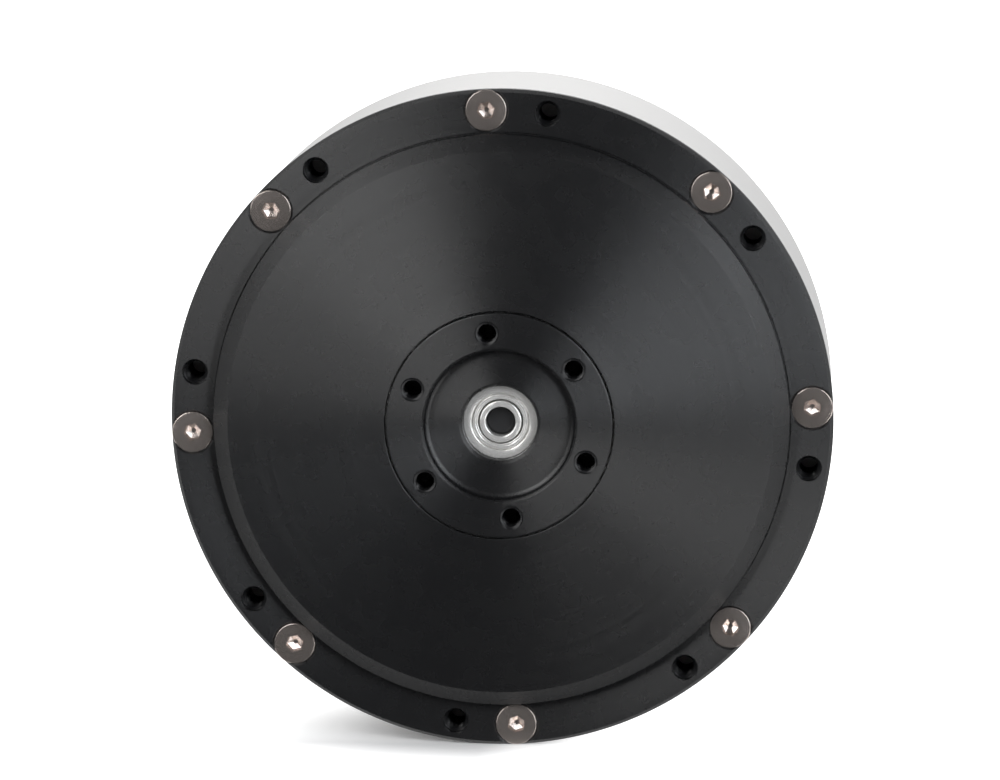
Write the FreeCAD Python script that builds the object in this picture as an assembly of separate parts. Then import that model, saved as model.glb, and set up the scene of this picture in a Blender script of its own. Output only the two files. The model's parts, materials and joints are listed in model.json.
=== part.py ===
"""Robot joint actuator: a flat brushless motor wrapped round a single planetary stage.

Frame, in millimetres. The output axis is Y. The output face looks along -Y and the electronics
are at +Y. The origin is on the output axis, in the front face of the mounting rim. Z is up when
the actuator stands on its rim. Angles about the axis are read from the front: 0 is +X, 90 is +Z.
"""

import FreeCAD, Part
import math
import os
from collections import namedtuple

# ---------------------------------------------------------------- driving dimensions

# fits and gaps
seat_fit = 0.02            # radial play of a pressed or glued seat
bush_clearance = 0.03      # running play of a planet bush on its pin
side_play = 0.2            # axial play of a planet beside its washers
play_end = 0.2             # past the blind end of a pin
running_gap = 0.5          # gap between a turning piece and a fixed one
ball_gap = 0.25            # gap round a caged row of balls
flank_trim = 0.03          # each gear flank is thinned by this much for backlash

# mounting rim and front cover
rim_radius = 44.45
rim_thickness = 1.5
rim_chamfer = 0.45
bolt_edge_distance = 2.8   # from the rim's edge in to the circle of screws and holes
foot_gap = 0.33            # from a screw's head in to the foot of the dome
rim_screw_count = 8
rim_screw_phase = 2.8
mount_hole_offset = -11.3  # from each rim screw to the mounting hole beside it
mount_hole_radius = 1.7
mount_thread_depth = 7.0
dome_foot_wall = 1.7       # height of the upright wall at the foot of the dome
dome_chamfer_height = 1.8
dome_chamfer_width = 2.1
dome_rise = 1.3            # the shallow cone from the chamfer in to the output
cover_back = 0.5           # rear face of the cover's plate, behind the rim's front face
spigot_length = 2.0        # cover spigot in the housing bore
lip_gap = 0.2              # round the output flange, where it comes through the cover
lip_thickness = 1.4
lip_relief = 1.0           # the lip stands clear of the bearing inside its outer ring
lip_relief_depth = 0.3
spigot_width = 2.4

# fasteners
m3_radius = 1.5
m3_head_radius = 2.77
m2_5_radius = 1.25
m2_5_head_radius = 2.35
m2_radius = 1.0
m2_head_radius = 1.9
m2_head_height = 1.3
head_sink = 0.16           # a countersunk head lies this far below its face
head_play = 0.01           # and its countersink is this much wider at the same depth
thread_run = 0.5           # a tapped hole is this much deeper than its screw
rim_screw_length = 8.0
cover_screw_length = 8.6
board_screw_reach = 4.0    # length of a board screw in its boss

# output flange
output_height = 5.0        # output face ahead of the rim's front face
output_radius = 15.15
output_hole_count = 6
output_hole_circle = 12.5
output_hole_phase = 37.5
output_hole_radius = 1.25
output_hole_depth = 6.0
output_edge = 0.2
output_hole_bevel = 0.25
flange_screw_edge = 3.2    # from the bearing journal in to the screws behind the flange
flange_screw_depth = 4.5
tip_shoulder = 1.4         # behind the small bearing's outer ring
recess_radius = 10.1
recess_depth = 1.85
recess_fillet = 0.8
recess_chamfer = 0.3
tip_seat_chamfer = 0.4
tip_seat_sink = 1.75       # from the recess floor down to the small bearing's face

# bearings: bore, land of the inner ring, land of the outer ring, outside, width, ball radius
Bearing = namedtuple("Bearing", "bore inner_land outer_land outside width ball")
output_bearing = Bearing(15.0, 16.9, 19.1, 21.0, 7.0, 1.95)
tip_bearing = Bearing(2.0, 2.8, 3.9, 5.0, 4.0, 0.79)
rear_bearing = Bearing(5.0, 6.35, 8.15, 9.5, 5.0, 1.5)
bearing_chamfer = 0.2
shield_sink = 0.2
shield_thickness = 0.2
shield_gap = 0.1           # between a shield and the inner ring
retainer_thickness = 1.0
retainer_overlap = 0.9     # how far the retaining ring covers the bearing's outer ring
retainer_bite = 1.0        # how far it stands in its groove
retainer_gap = 8.0         # opening of the retaining ring
wave_washer = 0.5
wave_washer_width = 1.4

# gear train
gear_module = 0.4
sun_teeth = 12
planet_teeth = 48
planet_count = 3
pressure_angle = 20.0
addendum_factor = 0.75
root_gap_factor = 0.25
face_width = 7.0
ring_wall = 1.4            # behind the ring gear's root
planet_pin_radius = 2.0
pin_sink = 0.6             # a pin starts this far behind the front of its plate's boss
bush_wall = 1.35
washer_thickness = 0.3
washer_radius = 4.5
carrier_thickness = 2.4
carrier_edge_gap = 0.5     # between the carrier and the ring gear's tips
carrier_post_radius = 3.0
post_edge = 0.3            # from a post out to the carrier's edge
carrier_screw_setback = 0.2
clamp_step = 0.6           # the clamping boss is this much smaller than the inner ring's land
stem_gap_front = 1.0       # round the pinion stem in the front plate
stem_gap_rear = 0.7
lightening_radius = 1.6
lightening_angle = 26.0    # to each side of a planet's pin
lightening_inset = 0.6
pinion_stem_radius = 2.9
pinion_bevel = 0.3
pinion_neck = 1.0          # length of the taper from the front journal to the teeth
journal_setback = 1.6      # the pinion's ends lie this far inside their bearings

# motor
stator_slots = 36
stator_length = 14.0
stator_lead_space = 4.3    # behind the cover's plate, ahead of the coils
coil_overhang = 1.8
magnet_count = 42
magnet_thickness = 1.6
magnet_overhang = 0.6      # a magnet is longer than the stator by this at each end
magnet_cover = 0.9         # share of the bore's circumference that magnets fill
air_gap = 0.5
magnet_glue = 0.1          # behind the middle of a flat magnet
flux_ring_wall = 1.6
tube_wall = 1.6            # cover tube, between ring gear and stator
tooth_width = 2.6
tooth_tip_width = 4.6
tooth_tip_height = 0.8
tooth_tip_edge = 0.32      # height of the straight edge at a tooth's tip
stator_yoke = 2.4
stator_shoulder = 1.0      # height of the tube's shoulder that the stator seats on
coil_gap = 0.1             # insulation between a coil and its tooth
slot_gap = 0.15            # half the gap between neighbouring coils
coil_end_gap = 0.3
end_ring_height = 1.3
web_thickness = 1.8
web_edge = 0.8
flux_ring_setback = 1.2    # the flux ring starts this far behind the coils' front
web_hole_count = 6
web_hole_radius = 5.5
web_hole_circle = 23.0
hub_radius = 7.0
hub_flare = 1.5
journal_shoulder = 1.2
journal_overrun = 0.2      # the rear journal stands out of its bearing by this

# motor housing
housing_wall = 4.7         # at the front, where the screws go in
housing_step = 0.25        # the housing is this much slimmer than the rim
housing_relief = 1.9       # behind the screws the wall is thinner by this
housing_relief_y = 12.0
housing_rear_wall = 2.0
housing_fillet = 0.6
inner_corner = 1.0         # bevel inside a rear corner
web_rear_gap = 2.8
boss_wall = 2.2
boss_lip = 0.8
bearing_lip = 1.7          # height of the lip behind the rear bearing
cover_spigot = 1.2
cover_spigot_wall = 1.6
board_boss_radius = 2.4
board_boss_inset = 9.0

# driver board and what it carries
board_thickness = 1.6
board_edge_gap = 2.4
chip_thickness = 1.0
encoder_gap = 0.9
pad_thickness = 1.0
pad_margin = 0.4           # the land under the pad is this much wider than the pad
encoder_magnet_radius = 3.0
encoder_magnet_thickness = 1.8
holder_wall = 0.85
holder_length = 2.0
holder_plug = 1.4
mosfet_count = 6
mosfet_width = 4.0
mosfet_length = 5.8
mosfet_step = 10.5         # degrees from one to the next
mosfet_inset = 7.5
mosfet_margin = 6.0        # degrees from the outermost transistors to the ends of the land
pad_width = 6.8
pad_end = 0.8              # degrees from the land's end to the pad's
capacitor_count = 4
capacitor_radius = 3.15
capacitor_height = 6.4
capacitor_inset = 11.0
capacitor_step = 25.0      # degrees from one to the next
capacitor_phase = -10.0
sensor_width = 5.0
controller_width = 10.0
controller_height = 1.2
controller_shift = -1.0
board_hole_gap = 0.1
pillar_gap = 0.3

# rear cover
rear_cover_radius = 37.0
rear_cover_wall = 1.6
rear_cover_depth = 15.6
rear_cover_fillet = 2.5
pillar_radius = 2.8
pillar_circle = 30.5
pillar_count = 4

# sockets, which leave towards -X
power_width = 10.4
power_height = 5.6
power_length = 13.0
power_reach = 38.8         # mouth of the power socket, from the axis
power_centre = -7.6
power_wall = 0.9
power_cavity = 8.5
power_pin_radius = 1.0
power_pin_pitch = 5.0
power_pin_sink = 1.0       # from the socket's mouth in to its pins
power_pin_foot = 2.4       # a pin bends down this far behind its socket
power_bevel = 1.6
signal_height = 3.6
signal_length = 6.5
signal_reach = 37.6
signal_wall = 0.6
signal_cavity = 4.2
signal_pitch = 1.25
signal_pin_width = 0.5
signal_pin_sink = 1.2
signal_pin_foot = 0.9
signal_bevel = 0.5
signal_sockets = {"can_socket": (2.9, 4), "serial_socket": (10.4, 3)}
window_margin = 0.8
window_corner = 1.2
window_floor = 0.6         # the window starts this far ahead of the board's rear face

# phase leads
lead_count = 3
lead_radius = 0.8
lead_pitch = 2.2
lead_angle = 19.6
lead_bend = 1.8
lead_room = 0.4            # round the leads in the housing
lead_rise = 1.0            # from the cover's plate to the leads that cross it
lead_start = 3.0           # from the yoke out to where the leads leave the winding
lead_inset = 1.6           # from the board's edge in to the leads' ends

# ---------------------------------------------------------------- places worked out from them

FRONT = FreeCAD.Vector(0, -1, 0)
ORIGIN = FreeCAD.Vector(0, 0, 0)

bolt_circle = rim_radius - bolt_edge_distance
m3_close_radius = m3_radius + 2 * seat_fit
m2_5_close_radius = m2_5_radius + 2 * seat_fit
foot_radius = bolt_circle - m3_head_radius - foot_gap
dome_edge = foot_radius - dome_chamfer_width
dome_edge_y = -(dome_foot_wall + dome_chamfer_height)
lip_radius = output_radius + lip_gap
rim_screw_angles = [rim_screw_phase + 360.0 / rim_screw_count * i for i in range(rim_screw_count)]
mount_hole_angles = [angle + mount_hole_offset for angle in rim_screw_angles]
housing_radius = rim_radius - housing_step
housing_bore = housing_radius - housing_wall

lip_y = dome_edge_y - dome_rise
bearing_y = lip_y + lip_thickness
bearing_rear = bearing_y + output_bearing.width
flange_screw_circle = output_bearing.bore - flange_screw_edge
carrier_y = bearing_rear + retainer_thickness + running_gap
washer_y = carrier_y + carrier_thickness
planet_y = washer_y + washer_thickness + side_play
planet_rear = planet_y + face_width
rear_carrier_y = planet_rear + side_play + washer_thickness
rear_carrier_rear = rear_carrier_y + carrier_thickness

pitch_sun = gear_module * sun_teeth / 2
pitch_planet = gear_module * planet_teeth / 2
ring_teeth = sun_teeth + 2 * planet_teeth
pitch_ring = gear_module * ring_teeth / 2
planet_circle = pitch_sun + pitch_planet
addendum = addendum_factor * gear_module
dedendum = addendum + root_gap_factor * gear_module
ring_outer = pitch_ring + dedendum + ring_wall
planet_phase = output_hole_phase + 180.0 / output_hole_count
planet_angles = [planet_phase + 360.0 / planet_count * i for i in range(planet_count)]
post_angles = [angle + 180.0 / planet_count for angle in planet_angles]
carrier_radius = pitch_ring - addendum - carrier_edge_gap
post_circle = carrier_radius - carrier_post_radius - post_edge
bush_radius = planet_pin_radius + bush_clearance + bush_wall

tube_bore = ring_outer + seat_fit
tube_radius = tube_bore + tube_wall
stator_bore = tube_radius + seat_fit
coil_y = cover_back + stator_lead_space
stator_y = coil_y + coil_overhang
stator_rear = stator_y + stator_length
coil_rear = stator_rear + coil_overhang
bell_radius = housing_bore - running_gap
flux_bore = bell_radius - flux_ring_wall
magnet_outer = flux_bore - magnet_glue
magnet_inner = magnet_outer - magnet_thickness
stator_radius = magnet_inner - air_gap
magnet_width = magnet_cover * 2 * math.pi * magnet_inner / magnet_count
web_y = coil_rear + running_gap
web_rear = web_y + web_thickness
hub_y = rear_carrier_rear + running_gap

rear_bearing_y = web_rear + running_gap
rear_bearing_rear = rear_bearing_y + rear_bearing.width
boss_rear = rear_bearing_rear + wave_washer + boss_lip
wall_y = web_rear + web_rear_gap
body_rear = wall_y + housing_rear_wall
journal_rear = rear_bearing_rear + journal_overrun
holder_rear = journal_rear + holder_length
board_y = holder_rear + encoder_gap + chip_thickness
board_rear = board_y + board_thickness
cover_rear = body_rear + rear_cover_depth
cover_bore = rear_cover_radius - rear_cover_wall
board_radius = cover_bore - board_edge_gap
pillar_angles = [45.0 + 360.0 / pillar_count * i for i in range(pillar_count)]
board_boss_circle = board_radius - board_boss_inset
board_boss_angles = (90.0, 215.0, 325.0)
mosfet_y = board_y - chip_thickness
pad_y = mosfet_y - pad_thickness
mosfet_circle = board_radius - mosfet_inset
mosfet_angles = [270.0 + mosfet_step * (i - (mosfet_count - 1) / 2) for i in range(mosfet_count)]
lead_outer = housing_bore + lead_radius + lead_room
lead_inner = board_radius - lead_inset
recess_y = -output_height + recess_depth
tip_face_y = recess_y + tip_seat_sink
tip_rear_y = tip_face_y + tip_bearing.width


# ---------------------------------------------------------------- general helpers

def place(radius, angle, y):
    """Point at a radius and an angle about the output axis."""
    turn = math.radians(angle)
    return FreeCAD.Vector(radius * math.cos(turn), y, radius * math.sin(turn))


def turned(shape, angle):
    """Copy of a shape turned about the output axis, counter-clockwise from the front."""
    return shape.rotated(ORIGIN, FRONT, angle)


def revolved(outline):
    """Solid of revolution about the output axis of a closed (radius, y) outline."""
    points = [FreeCAD.Vector(radius, y, 0) for radius, y in outline]
    face = Part.Face(Part.makePolygon(points + points[:1]))
    solid = face.revolve(ORIGIN, FreeCAD.Vector(0, 1, 0), 360)
    return solid if solid.Volume > 0 else solid.reversed()


def ring(inner, outer, y, y_end, bevel=0.0):
    """Ring about the output axis, with all four edges bevelled where asked."""
    if not bevel:
        return revolved([(inner, y), (outer, y), (outer, y_end), (inner, y_end)])
    return revolved([
        (inner + bevel, y), (outer - bevel, y), (outer, y + bevel), (outer, y_end - bevel),
        (outer - bevel, y_end), (inner + bevel, y_end), (inner, y_end - bevel), (inner, y + bevel),
    ])


def rod(radius, angle, circle, y, y_end):
    """Round rod parallel to the output axis."""
    back = FreeCAD.Vector(0, 1, 0)
    return Part.makeCylinder(radius, y_end - y, place(circle, angle, y), back)


def cone(radius, radius_end, angle, circle, y, y_end):
    """Cone parallel to the output axis."""
    back = FreeCAD.Vector(0, 1, 0)
    return Part.makeCone(radius, radius_end, y_end - y, place(circle, angle, y), back)


def countersunk(radius, head_radius, angle, circle, y, y_end):
    """Cone with its wide end at y and a shank on to y_end, as one solid."""
    height = head_radius - radius
    back = FreeCAD.Vector(0, 1 if y_end > y else -1, 0)
    seat = place(circle, angle, y)
    head = Part.makeCone(head_radius, radius, height, seat, back)
    shank = Part.makeCylinder(radius, abs(y_end - y) - height / 2, seat + back * (height / 2), back)
    return joined(head, shank)


def sunk_screw(radius, head_radius, angle, circle, y, y_end):
    """Countersunk screw whose head lies a little below the face at y."""
    way = 1 if y_end > y else -1
    return countersunk(radius, head_radius, angle, circle, y + way * head_sink, y_end)


def sunk_hole(radius, head_radius, angle, circle, y, y_end):
    """Countersunk hole for a sunk screw, with its wide end at the face at y."""
    return countersunk(radius, head_radius + head_sink + head_play, angle, circle, y, y_end)


def box(low, high):
    """Box between two opposite corners."""
    size = [b - a for a, b in zip(low, high)]
    return Part.makeBox(size[0], size[1], size[2], FreeCAD.Vector(*low))


def evenly(count, phase=0.0):
    """Angles of a circular pattern."""
    return [phase + 360.0 / count * i for i in range(count)]


def joined(first, *others):
    """One solid from pieces that touch or overlap."""
    return first.fuse(list(others)).removeSplitter()


# ---------------------------------------------------------------- gears

def involute(angle):
    """Involute function of a pressure angle in radians."""
    return math.tan(angle) - angle


def gear_outline(teeth, tip, root, trim, chords, phase):
    """Corners of a spur gear outline, with a tooth centred on the phase angle.

    Each flank follows the involute of the base circle in short chords, and drops straight to
    the root below it. The tooth is thinned by trim on each flank, or thickened where negative.
    """
    pressure = math.radians(pressure_angle)
    pitch = gear_module * teeth / 2
    base = pitch * math.cos(pressure)
    half = math.pi / (2 * teeth) - trim / pitch
    flank = []
    for step in range(chords + 1):
        radius = root + (tip - root) * step / chords
        local = math.acos(base / radius) if radius > base else 0.0
        flank.append((radius, half + involute(pressure) - involute(local)))
    corners = []
    for tooth in range(teeth):
        centre = math.radians(phase) + 2 * math.pi * tooth / teeth
        corners += [(radius, centre - width) for radius, width in flank]
        corners += [(radius, centre + width) for radius, width in reversed(flank)]
    return corners


def gear_solid(corners, y, y_end, centre=ORIGIN):
    """Prism of a gear outline about an axis parallel to the output axis."""
    points = [place(radius, math.degrees(turn), y) + centre for radius, turn in corners]
    face = Part.Face(Part.makePolygon(points + points[:1]))
    return face.extrude(FreeCAD.Vector(0, y_end - y, 0))


def sun_pinion():
    """Pinion cut on its own stem: front journal, teeth, and the stem pressed in the rotor."""
    tip = pitch_sun + addendum
    root = pitch_sun - dedendum
    phase = planet_angles[0] + 180.0 / sun_teeth
    y_end = planet_rear + side_play
    teeth = gear_solid(gear_outline(sun_teeth, tip, root, flank_trim, 4, phase), planet_y, y_end)
    journal = tip_bearing.bore - seat_fit
    journal_y = tip_face_y + journal_setback
    neck_y = tip_rear_y + running_gap
    front = revolved([
        (0, journal_y), (journal - pinion_bevel, journal_y), (journal, journal_y + pinion_bevel),
        (journal, neck_y), (root, neck_y + pinion_neck), (root, planet_y), (0, planet_y),
    ])
    stem_end = rear_bearing_rear - journal_setback
    stem = revolved([
        (0, y_end), (pinion_stem_radius, y_end), (pinion_stem_radius, stem_end - pinion_bevel),
        (pinion_stem_radius - pinion_bevel, stem_end), (0, stem_end),
    ])
    return joined(teeth, front, stem)


def planet_gear(angle):
    """Planet gear with a round bore for its bush."""
    tip = pitch_planet + addendum
    root = pitch_planet - dedendum
    centre = place(planet_circle, angle, 0)
    outline = gear_outline(planet_teeth, tip, root, flank_trim, 2, angle)
    blank = gear_solid(outline, planet_y, planet_rear, centre)
    bore = rod(bush_radius + seat_fit, angle, planet_circle, planet_y - 1, planet_rear + 1)
    return blank.cut(bore)


def planet_bush(angle):
    """Plain bush, pressed in its planet gear and running on the pin."""
    outer = rod(bush_radius, angle, planet_circle, planet_y, planet_rear)
    inner = planet_pin_radius + bush_clearance
    return outer.cut(rod(inner, angle, planet_circle, planet_y - 1, planet_rear + 1))


def ring_gear():
    """Internal gear: a plain ring with the tooth spaces cut through its bore."""
    deep = pitch_ring + dedendum
    shallow = pitch_ring - addendum
    phase = planet_angles[0]
    spaces = gear_outline(ring_teeth, deep, shallow, -flank_trim, 2, phase)
    y = planet_y - side_play
    y_end = planet_rear + side_play
    blank = Part.makeCylinder(ring_outer, y_end - y, FreeCAD.Vector(0, y, 0), FreeCAD.Vector(0, 1, 0))
    return blank.cut(gear_solid(spaces, y - 1, y_end + 1))


# ---------------------------------------------------------------- bearings

def ball_track(bearing, y, radius):
    """Ring along the middle of a bearing, with the balls' round section in eight chords."""
    pitch = (bearing.inner_land + bearing.outer_land) / 2
    middle = y + bearing.width / 2
    turns = [math.radians(22.5 + 45.0 * i) for i in range(8)]
    return revolved([(pitch + radius * math.cos(turn), middle + radius * math.sin(turn))
                     for turn in turns])


def inner_race(bearing, y):
    """Inner ring with its ball groove."""
    blank = ring(bearing.bore, bearing.inner_land, y, y + bearing.width, bearing_chamfer)
    return blank.cut(ball_track(bearing, y, bearing.ball))


def outer_race(bearing, y):
    """Outer ring with its ball groove."""
    blank = ring(bearing.outer_land, bearing.outside, y, y + bearing.width, bearing_chamfer)
    return blank.cut(ball_track(bearing, y, bearing.ball))


def caged_balls(bearing, y):
    """The row of balls in its cage, as one closed ring of the balls' section."""
    return ball_track(bearing, y, bearing.ball - min(ball_gap, 0.15 * bearing.ball))


# ---------------------------------------------------------------- output body

def output_flange():
    """Flange in the middle of the front: bolt face, recess, bearing seat and bearing journal."""
    journal = output_bearing.bore - seat_fit
    seat = tip_bearing.outside + seat_fit
    shoulder = tip_bearing.outside - tip_shoulder
    front = -output_height
    body = revolved([
        (recess_radius + recess_chamfer, front), (output_radius - output_edge, front),
        (output_radius, front + output_edge), (output_radius, bearing_y), (journal, bearing_y),
        (journal, bearing_rear), (shoulder, bearing_rear), (shoulder, tip_rear_y),
        (seat, tip_rear_y), (seat, recess_y + tip_seat_chamfer), (seat + tip_seat_chamfer, recess_y),
        (recess_radius - recess_fillet, recess_y), (recess_radius, recess_y - recess_fillet),
        (recess_radius, front + recess_chamfer),
    ])
    for angle in evenly(output_hole_count, output_hole_phase):
        hole = rod(output_hole_radius, angle, output_hole_circle, front - 1, front + output_hole_depth)
        mouth = cone(output_hole_radius + output_hole_bevel, output_hole_radius, angle,
                     output_hole_circle, front, front + output_hole_bevel)
        body = body.cut([hole, mouth])
    for angle in post_angles:
        body = body.cut(rod(m3_radius + seat_fit, angle, flange_screw_circle,
                            bearing_rear - flange_screw_depth - thread_run, bearing_rear + 1))
    return body


def carrier_front():
    """Front carrier plate with the boss that clamps the output bearing's inner ring."""
    bore = pinion_stem_radius + stem_gap_front
    plate = ring(bore, carrier_radius, carrier_y, washer_y)
    boss = ring(bore, output_bearing.inner_land - clamp_step, bearing_rear, carrier_y)
    cuts = [rod(planet_pin_radius + seat_fit, angle, planet_circle, bearing_rear + pin_sink - play_end,
                washer_y + 1) for angle in planet_angles]
    for angle in post_angles:
        cuts.append(sunk_hole(m3_close_radius, m3_head_radius, angle, flange_screw_circle,
                              washer_y, bearing_rear - 1))
        cuts.append(rod(m2_5_radius + seat_fit, angle, post_circle, carrier_y - 1, washer_y + 1))
    return joined(plate, boss).cut(cuts)


def carrier_rear():
    """Rear carrier plate, lightened between the planets' pins and the posts."""
    bore = pinion_stem_radius + stem_gap_rear
    cuts = []
    for angle in planet_angles:
        cuts.append(rod(planet_pin_radius + seat_fit, angle, planet_circle, rear_carrier_y - 1,
                        rear_carrier_rear + 1))
        for side in (-lightening_angle, lightening_angle):
            cuts.append(rod(lightening_radius, angle + side, post_circle - lightening_inset,
                            rear_carrier_y - 1, rear_carrier_rear + 1))
    for angle in post_angles:
        cuts.append(sunk_hole(m2_5_close_radius, m2_5_head_radius, angle, post_circle,
                              rear_carrier_rear, rear_carrier_y - 1))
    return ring(bore, carrier_radius, rear_carrier_y, rear_carrier_rear).cut(cuts)


def carrier_posts():
    """Spacer posts that hold the two carrier plates apart."""
    posts = []
    for angle in post_angles:
        post = rod(carrier_post_radius, angle, post_circle, washer_y, rear_carrier_y)
        posts.append(post.cut(rod(m2_5_radius + seat_fit, angle, post_circle, washer_y - 1,
                                  rear_carrier_y + 1)))
    return Part.makeCompound(posts)


def planet_pins():
    """Pins that the planets turn on, pressed in both carrier plates."""
    y = bearing_rear + pin_sink
    return Part.makeCompound([
        rod(planet_pin_radius, angle, planet_circle, y, rear_carrier_rear) for angle in planet_angles
    ])


def planet_washers():
    """A thin thrust washer on each side of each planet."""
    washers = []
    for angle in planet_angles:
        for y in (washer_y, rear_carrier_y - washer_thickness):
            disc = rod(washer_radius, angle, planet_circle, y, y + washer_thickness)
            hole = rod(planet_pin_radius + bush_clearance, angle, planet_circle, y - 1, y + 1)
            washers.append(disc.cut(hole))
    return Part.makeCompound(washers)


def carrier_screws():
    """Long screws through the posts, from the rear."""
    return Part.makeCompound([
        sunk_screw(m2_5_radius, m2_5_head_radius, angle, post_circle, rear_carrier_rear,
                   carrier_y + carrier_screw_setback)
        for angle in post_angles
    ])


def flange_screws():
    """Screws that hold the front carrier plate on the output flange."""
    return Part.makeCompound([
        sunk_screw(m3_radius, m3_head_radius, angle, flange_screw_circle, washer_y,
                   bearing_rear - flange_screw_depth)
        for angle in post_angles
    ])


def tip_shields():
    """The two pressed shields of the small bearing, held in its outer ring."""
    plates = []
    for y in (tip_face_y + shield_sink, tip_rear_y - shield_sink - shield_thickness):
        plates.append(ring(tip_bearing.inner_land + shield_gap, tip_bearing.outer_land - seat_fit,
                           y, y + shield_thickness))
    return Part.makeCompound(plates)


# ---------------------------------------------------------------- rotor body

def rotor_bell():
    """Hub, lightened web and rear journal of the rotor, turned from one piece."""
    bore = pinion_stem_radius + seat_fit
    journal = rear_bearing.bore - seat_fit
    body = revolved([
        (bore, hub_y), (hub_radius, hub_y), (hub_radius, web_y - hub_flare),
        (hub_radius + hub_flare, web_y), (bell_radius, web_y), (bell_radius, web_rear - web_edge),
        (bell_radius - web_edge, web_rear), (journal + journal_shoulder, web_rear),
        (journal + journal_shoulder, rear_bearing_y), (journal, rear_bearing_y),
        (journal, journal_rear), (bore, journal_rear),
    ])
    holes = [
        rod(web_hole_radius, angle, web_hole_circle, web_y - 1, web_rear + 1)
        for angle in evenly(web_hole_count)
    ]
    return body.cut(holes)


def flux_ring():
    """Steel ring that carries the magnets, standing on the web's rim."""
    return ring(flux_bore, bell_radius, coil_y + flux_ring_setback, web_y)


def rotor_magnets():
    """Flat block magnets round the inside of the flux ring."""
    length = stator_length + 2 * magnet_overhang
    y = (stator_y + stator_rear - length) / 2
    corner = math.sqrt(flux_bore ** 2 - (magnet_width / 2) ** 2) - seat_fit
    block = box((corner - magnet_thickness, y, -magnet_width / 2), (corner, y + length, magnet_width / 2))
    return Part.makeCompound([turned(block, angle) for angle in evenly(magnet_count)])


def magnet_holder():
    """Brass cup in the end of the rotor's journal, for the encoder magnet."""
    cup = encoder_magnet_radius + seat_fit
    outer = cup + holder_wall
    spigot = pinion_stem_radius
    floor = holder_rear - encoder_magnet_thickness
    return revolved([
        (0, journal_rear - holder_plug), (spigot, journal_rear - holder_plug), (spigot, journal_rear),
        (outer, journal_rear), (outer, holder_rear), (cup, holder_rear), (cup, floor), (0, floor),
    ])


def encoder_magnet():
    """Round magnet that the angle sensor reads."""
    y = holder_rear - encoder_magnet_thickness
    return rod(encoder_magnet_radius, 0, 0, y, holder_rear)


# ---------------------------------------------------------------- stator

def slot_point(radius, offset):
    """Point at a radius from the output axis and a distance to the side, as (along, side)."""
    return math.sqrt(radius ** 2 - offset ** 2), offset


def stator_core():
    """Stack of laminations: yoke ring and teeth with widened tips."""
    yoke = stator_bore + stator_yoke
    neck = stator_radius - tooth_tip_height
    half = [slot_point(yoke, tooth_width / 2), slot_point(neck, tooth_width / 2),
            slot_point(stator_radius - tooth_tip_edge, tooth_tip_width / 2),
            slot_point(stator_radius, tooth_tip_width / 2)]
    tooth = [(along, -side) for along, side in half] + list(reversed(half))
    points = []
    for angle in evenly(stator_slots):
        points += [place(along, angle, stator_y) + place(side, angle + 90, 0) for along, side in tooth]
    face = Part.Face(Part.makePolygon(points + points[:1]))
    stack = face.extrude(FreeCAD.Vector(0, stator_length, 0))
    return stack.cut(rod(stator_bore, 0, 0, stator_y - 1, stator_rear + 1))


def stator_end_rings():
    """Insulating rings on both ends of the yoke."""
    outer = stator_bore + stator_yoke - coil_gap
    inner = tube_radius + stator_shoulder + coil_gap
    front = ring(inner, outer, stator_y - end_ring_height, stator_y)
    rear = ring(inner, outer, stator_rear, stator_rear + end_ring_height)
    return Part.makeCompound([front, rear])


def stator_coils():
    """One coil round each tooth, wedge shaped so that it fills its slots."""
    inner = stator_bore + stator_yoke + coil_end_gap
    outer = stator_radius - tooth_tip_height - coil_end_gap
    slot_share = math.pi / stator_slots
    corners = []
    for radius, side in ((inner, -1), (outer, -1), (outer, 1), (inner, 1)):
        corners.append(FreeCAD.Vector(radius, coil_y, side * (slot_share * radius - slot_gap)))
    wedge = Part.Face(Part.makePolygon(corners + corners[:1])).extrude(
        FreeCAD.Vector(0, coil_rear - coil_y, 0))
    half = tooth_width / 2 + coil_gap
    tooth = box((inner - 1, stator_y - coil_gap, -half), (outer + 1, stator_rear + coil_gap, half))
    coil = wedge.cut(tooth)
    return Part.makeCompound([turned(coil, angle) for angle in evenly(stator_slots)])


# ---------------------------------------------------------------- front cover

def circle_edges(shape, radius, y):
    """Round edges about the output axis with a given radius, at a given y."""
    found = []
    for edge in shape.Edges:
        curve = edge.Curve
        if isinstance(curve, Part.Circle) and abs(curve.Radius - radius) < 1e-4:
            if abs(curve.Center.y - y) < 1e-4 and abs(curve.Center.x) + abs(curve.Center.z) < 1e-4:
                found.append(edge)
    return found


def lead_slot(inner, outer, y, y_end):
    """Box-shaped room for the phase leads between two radii."""
    half = (lead_count - 1) * lead_pitch / 2 + lead_radius + lead_room
    return turned(box((inner, y, -half), (outer, y_end, half)), lead_angle)


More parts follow.
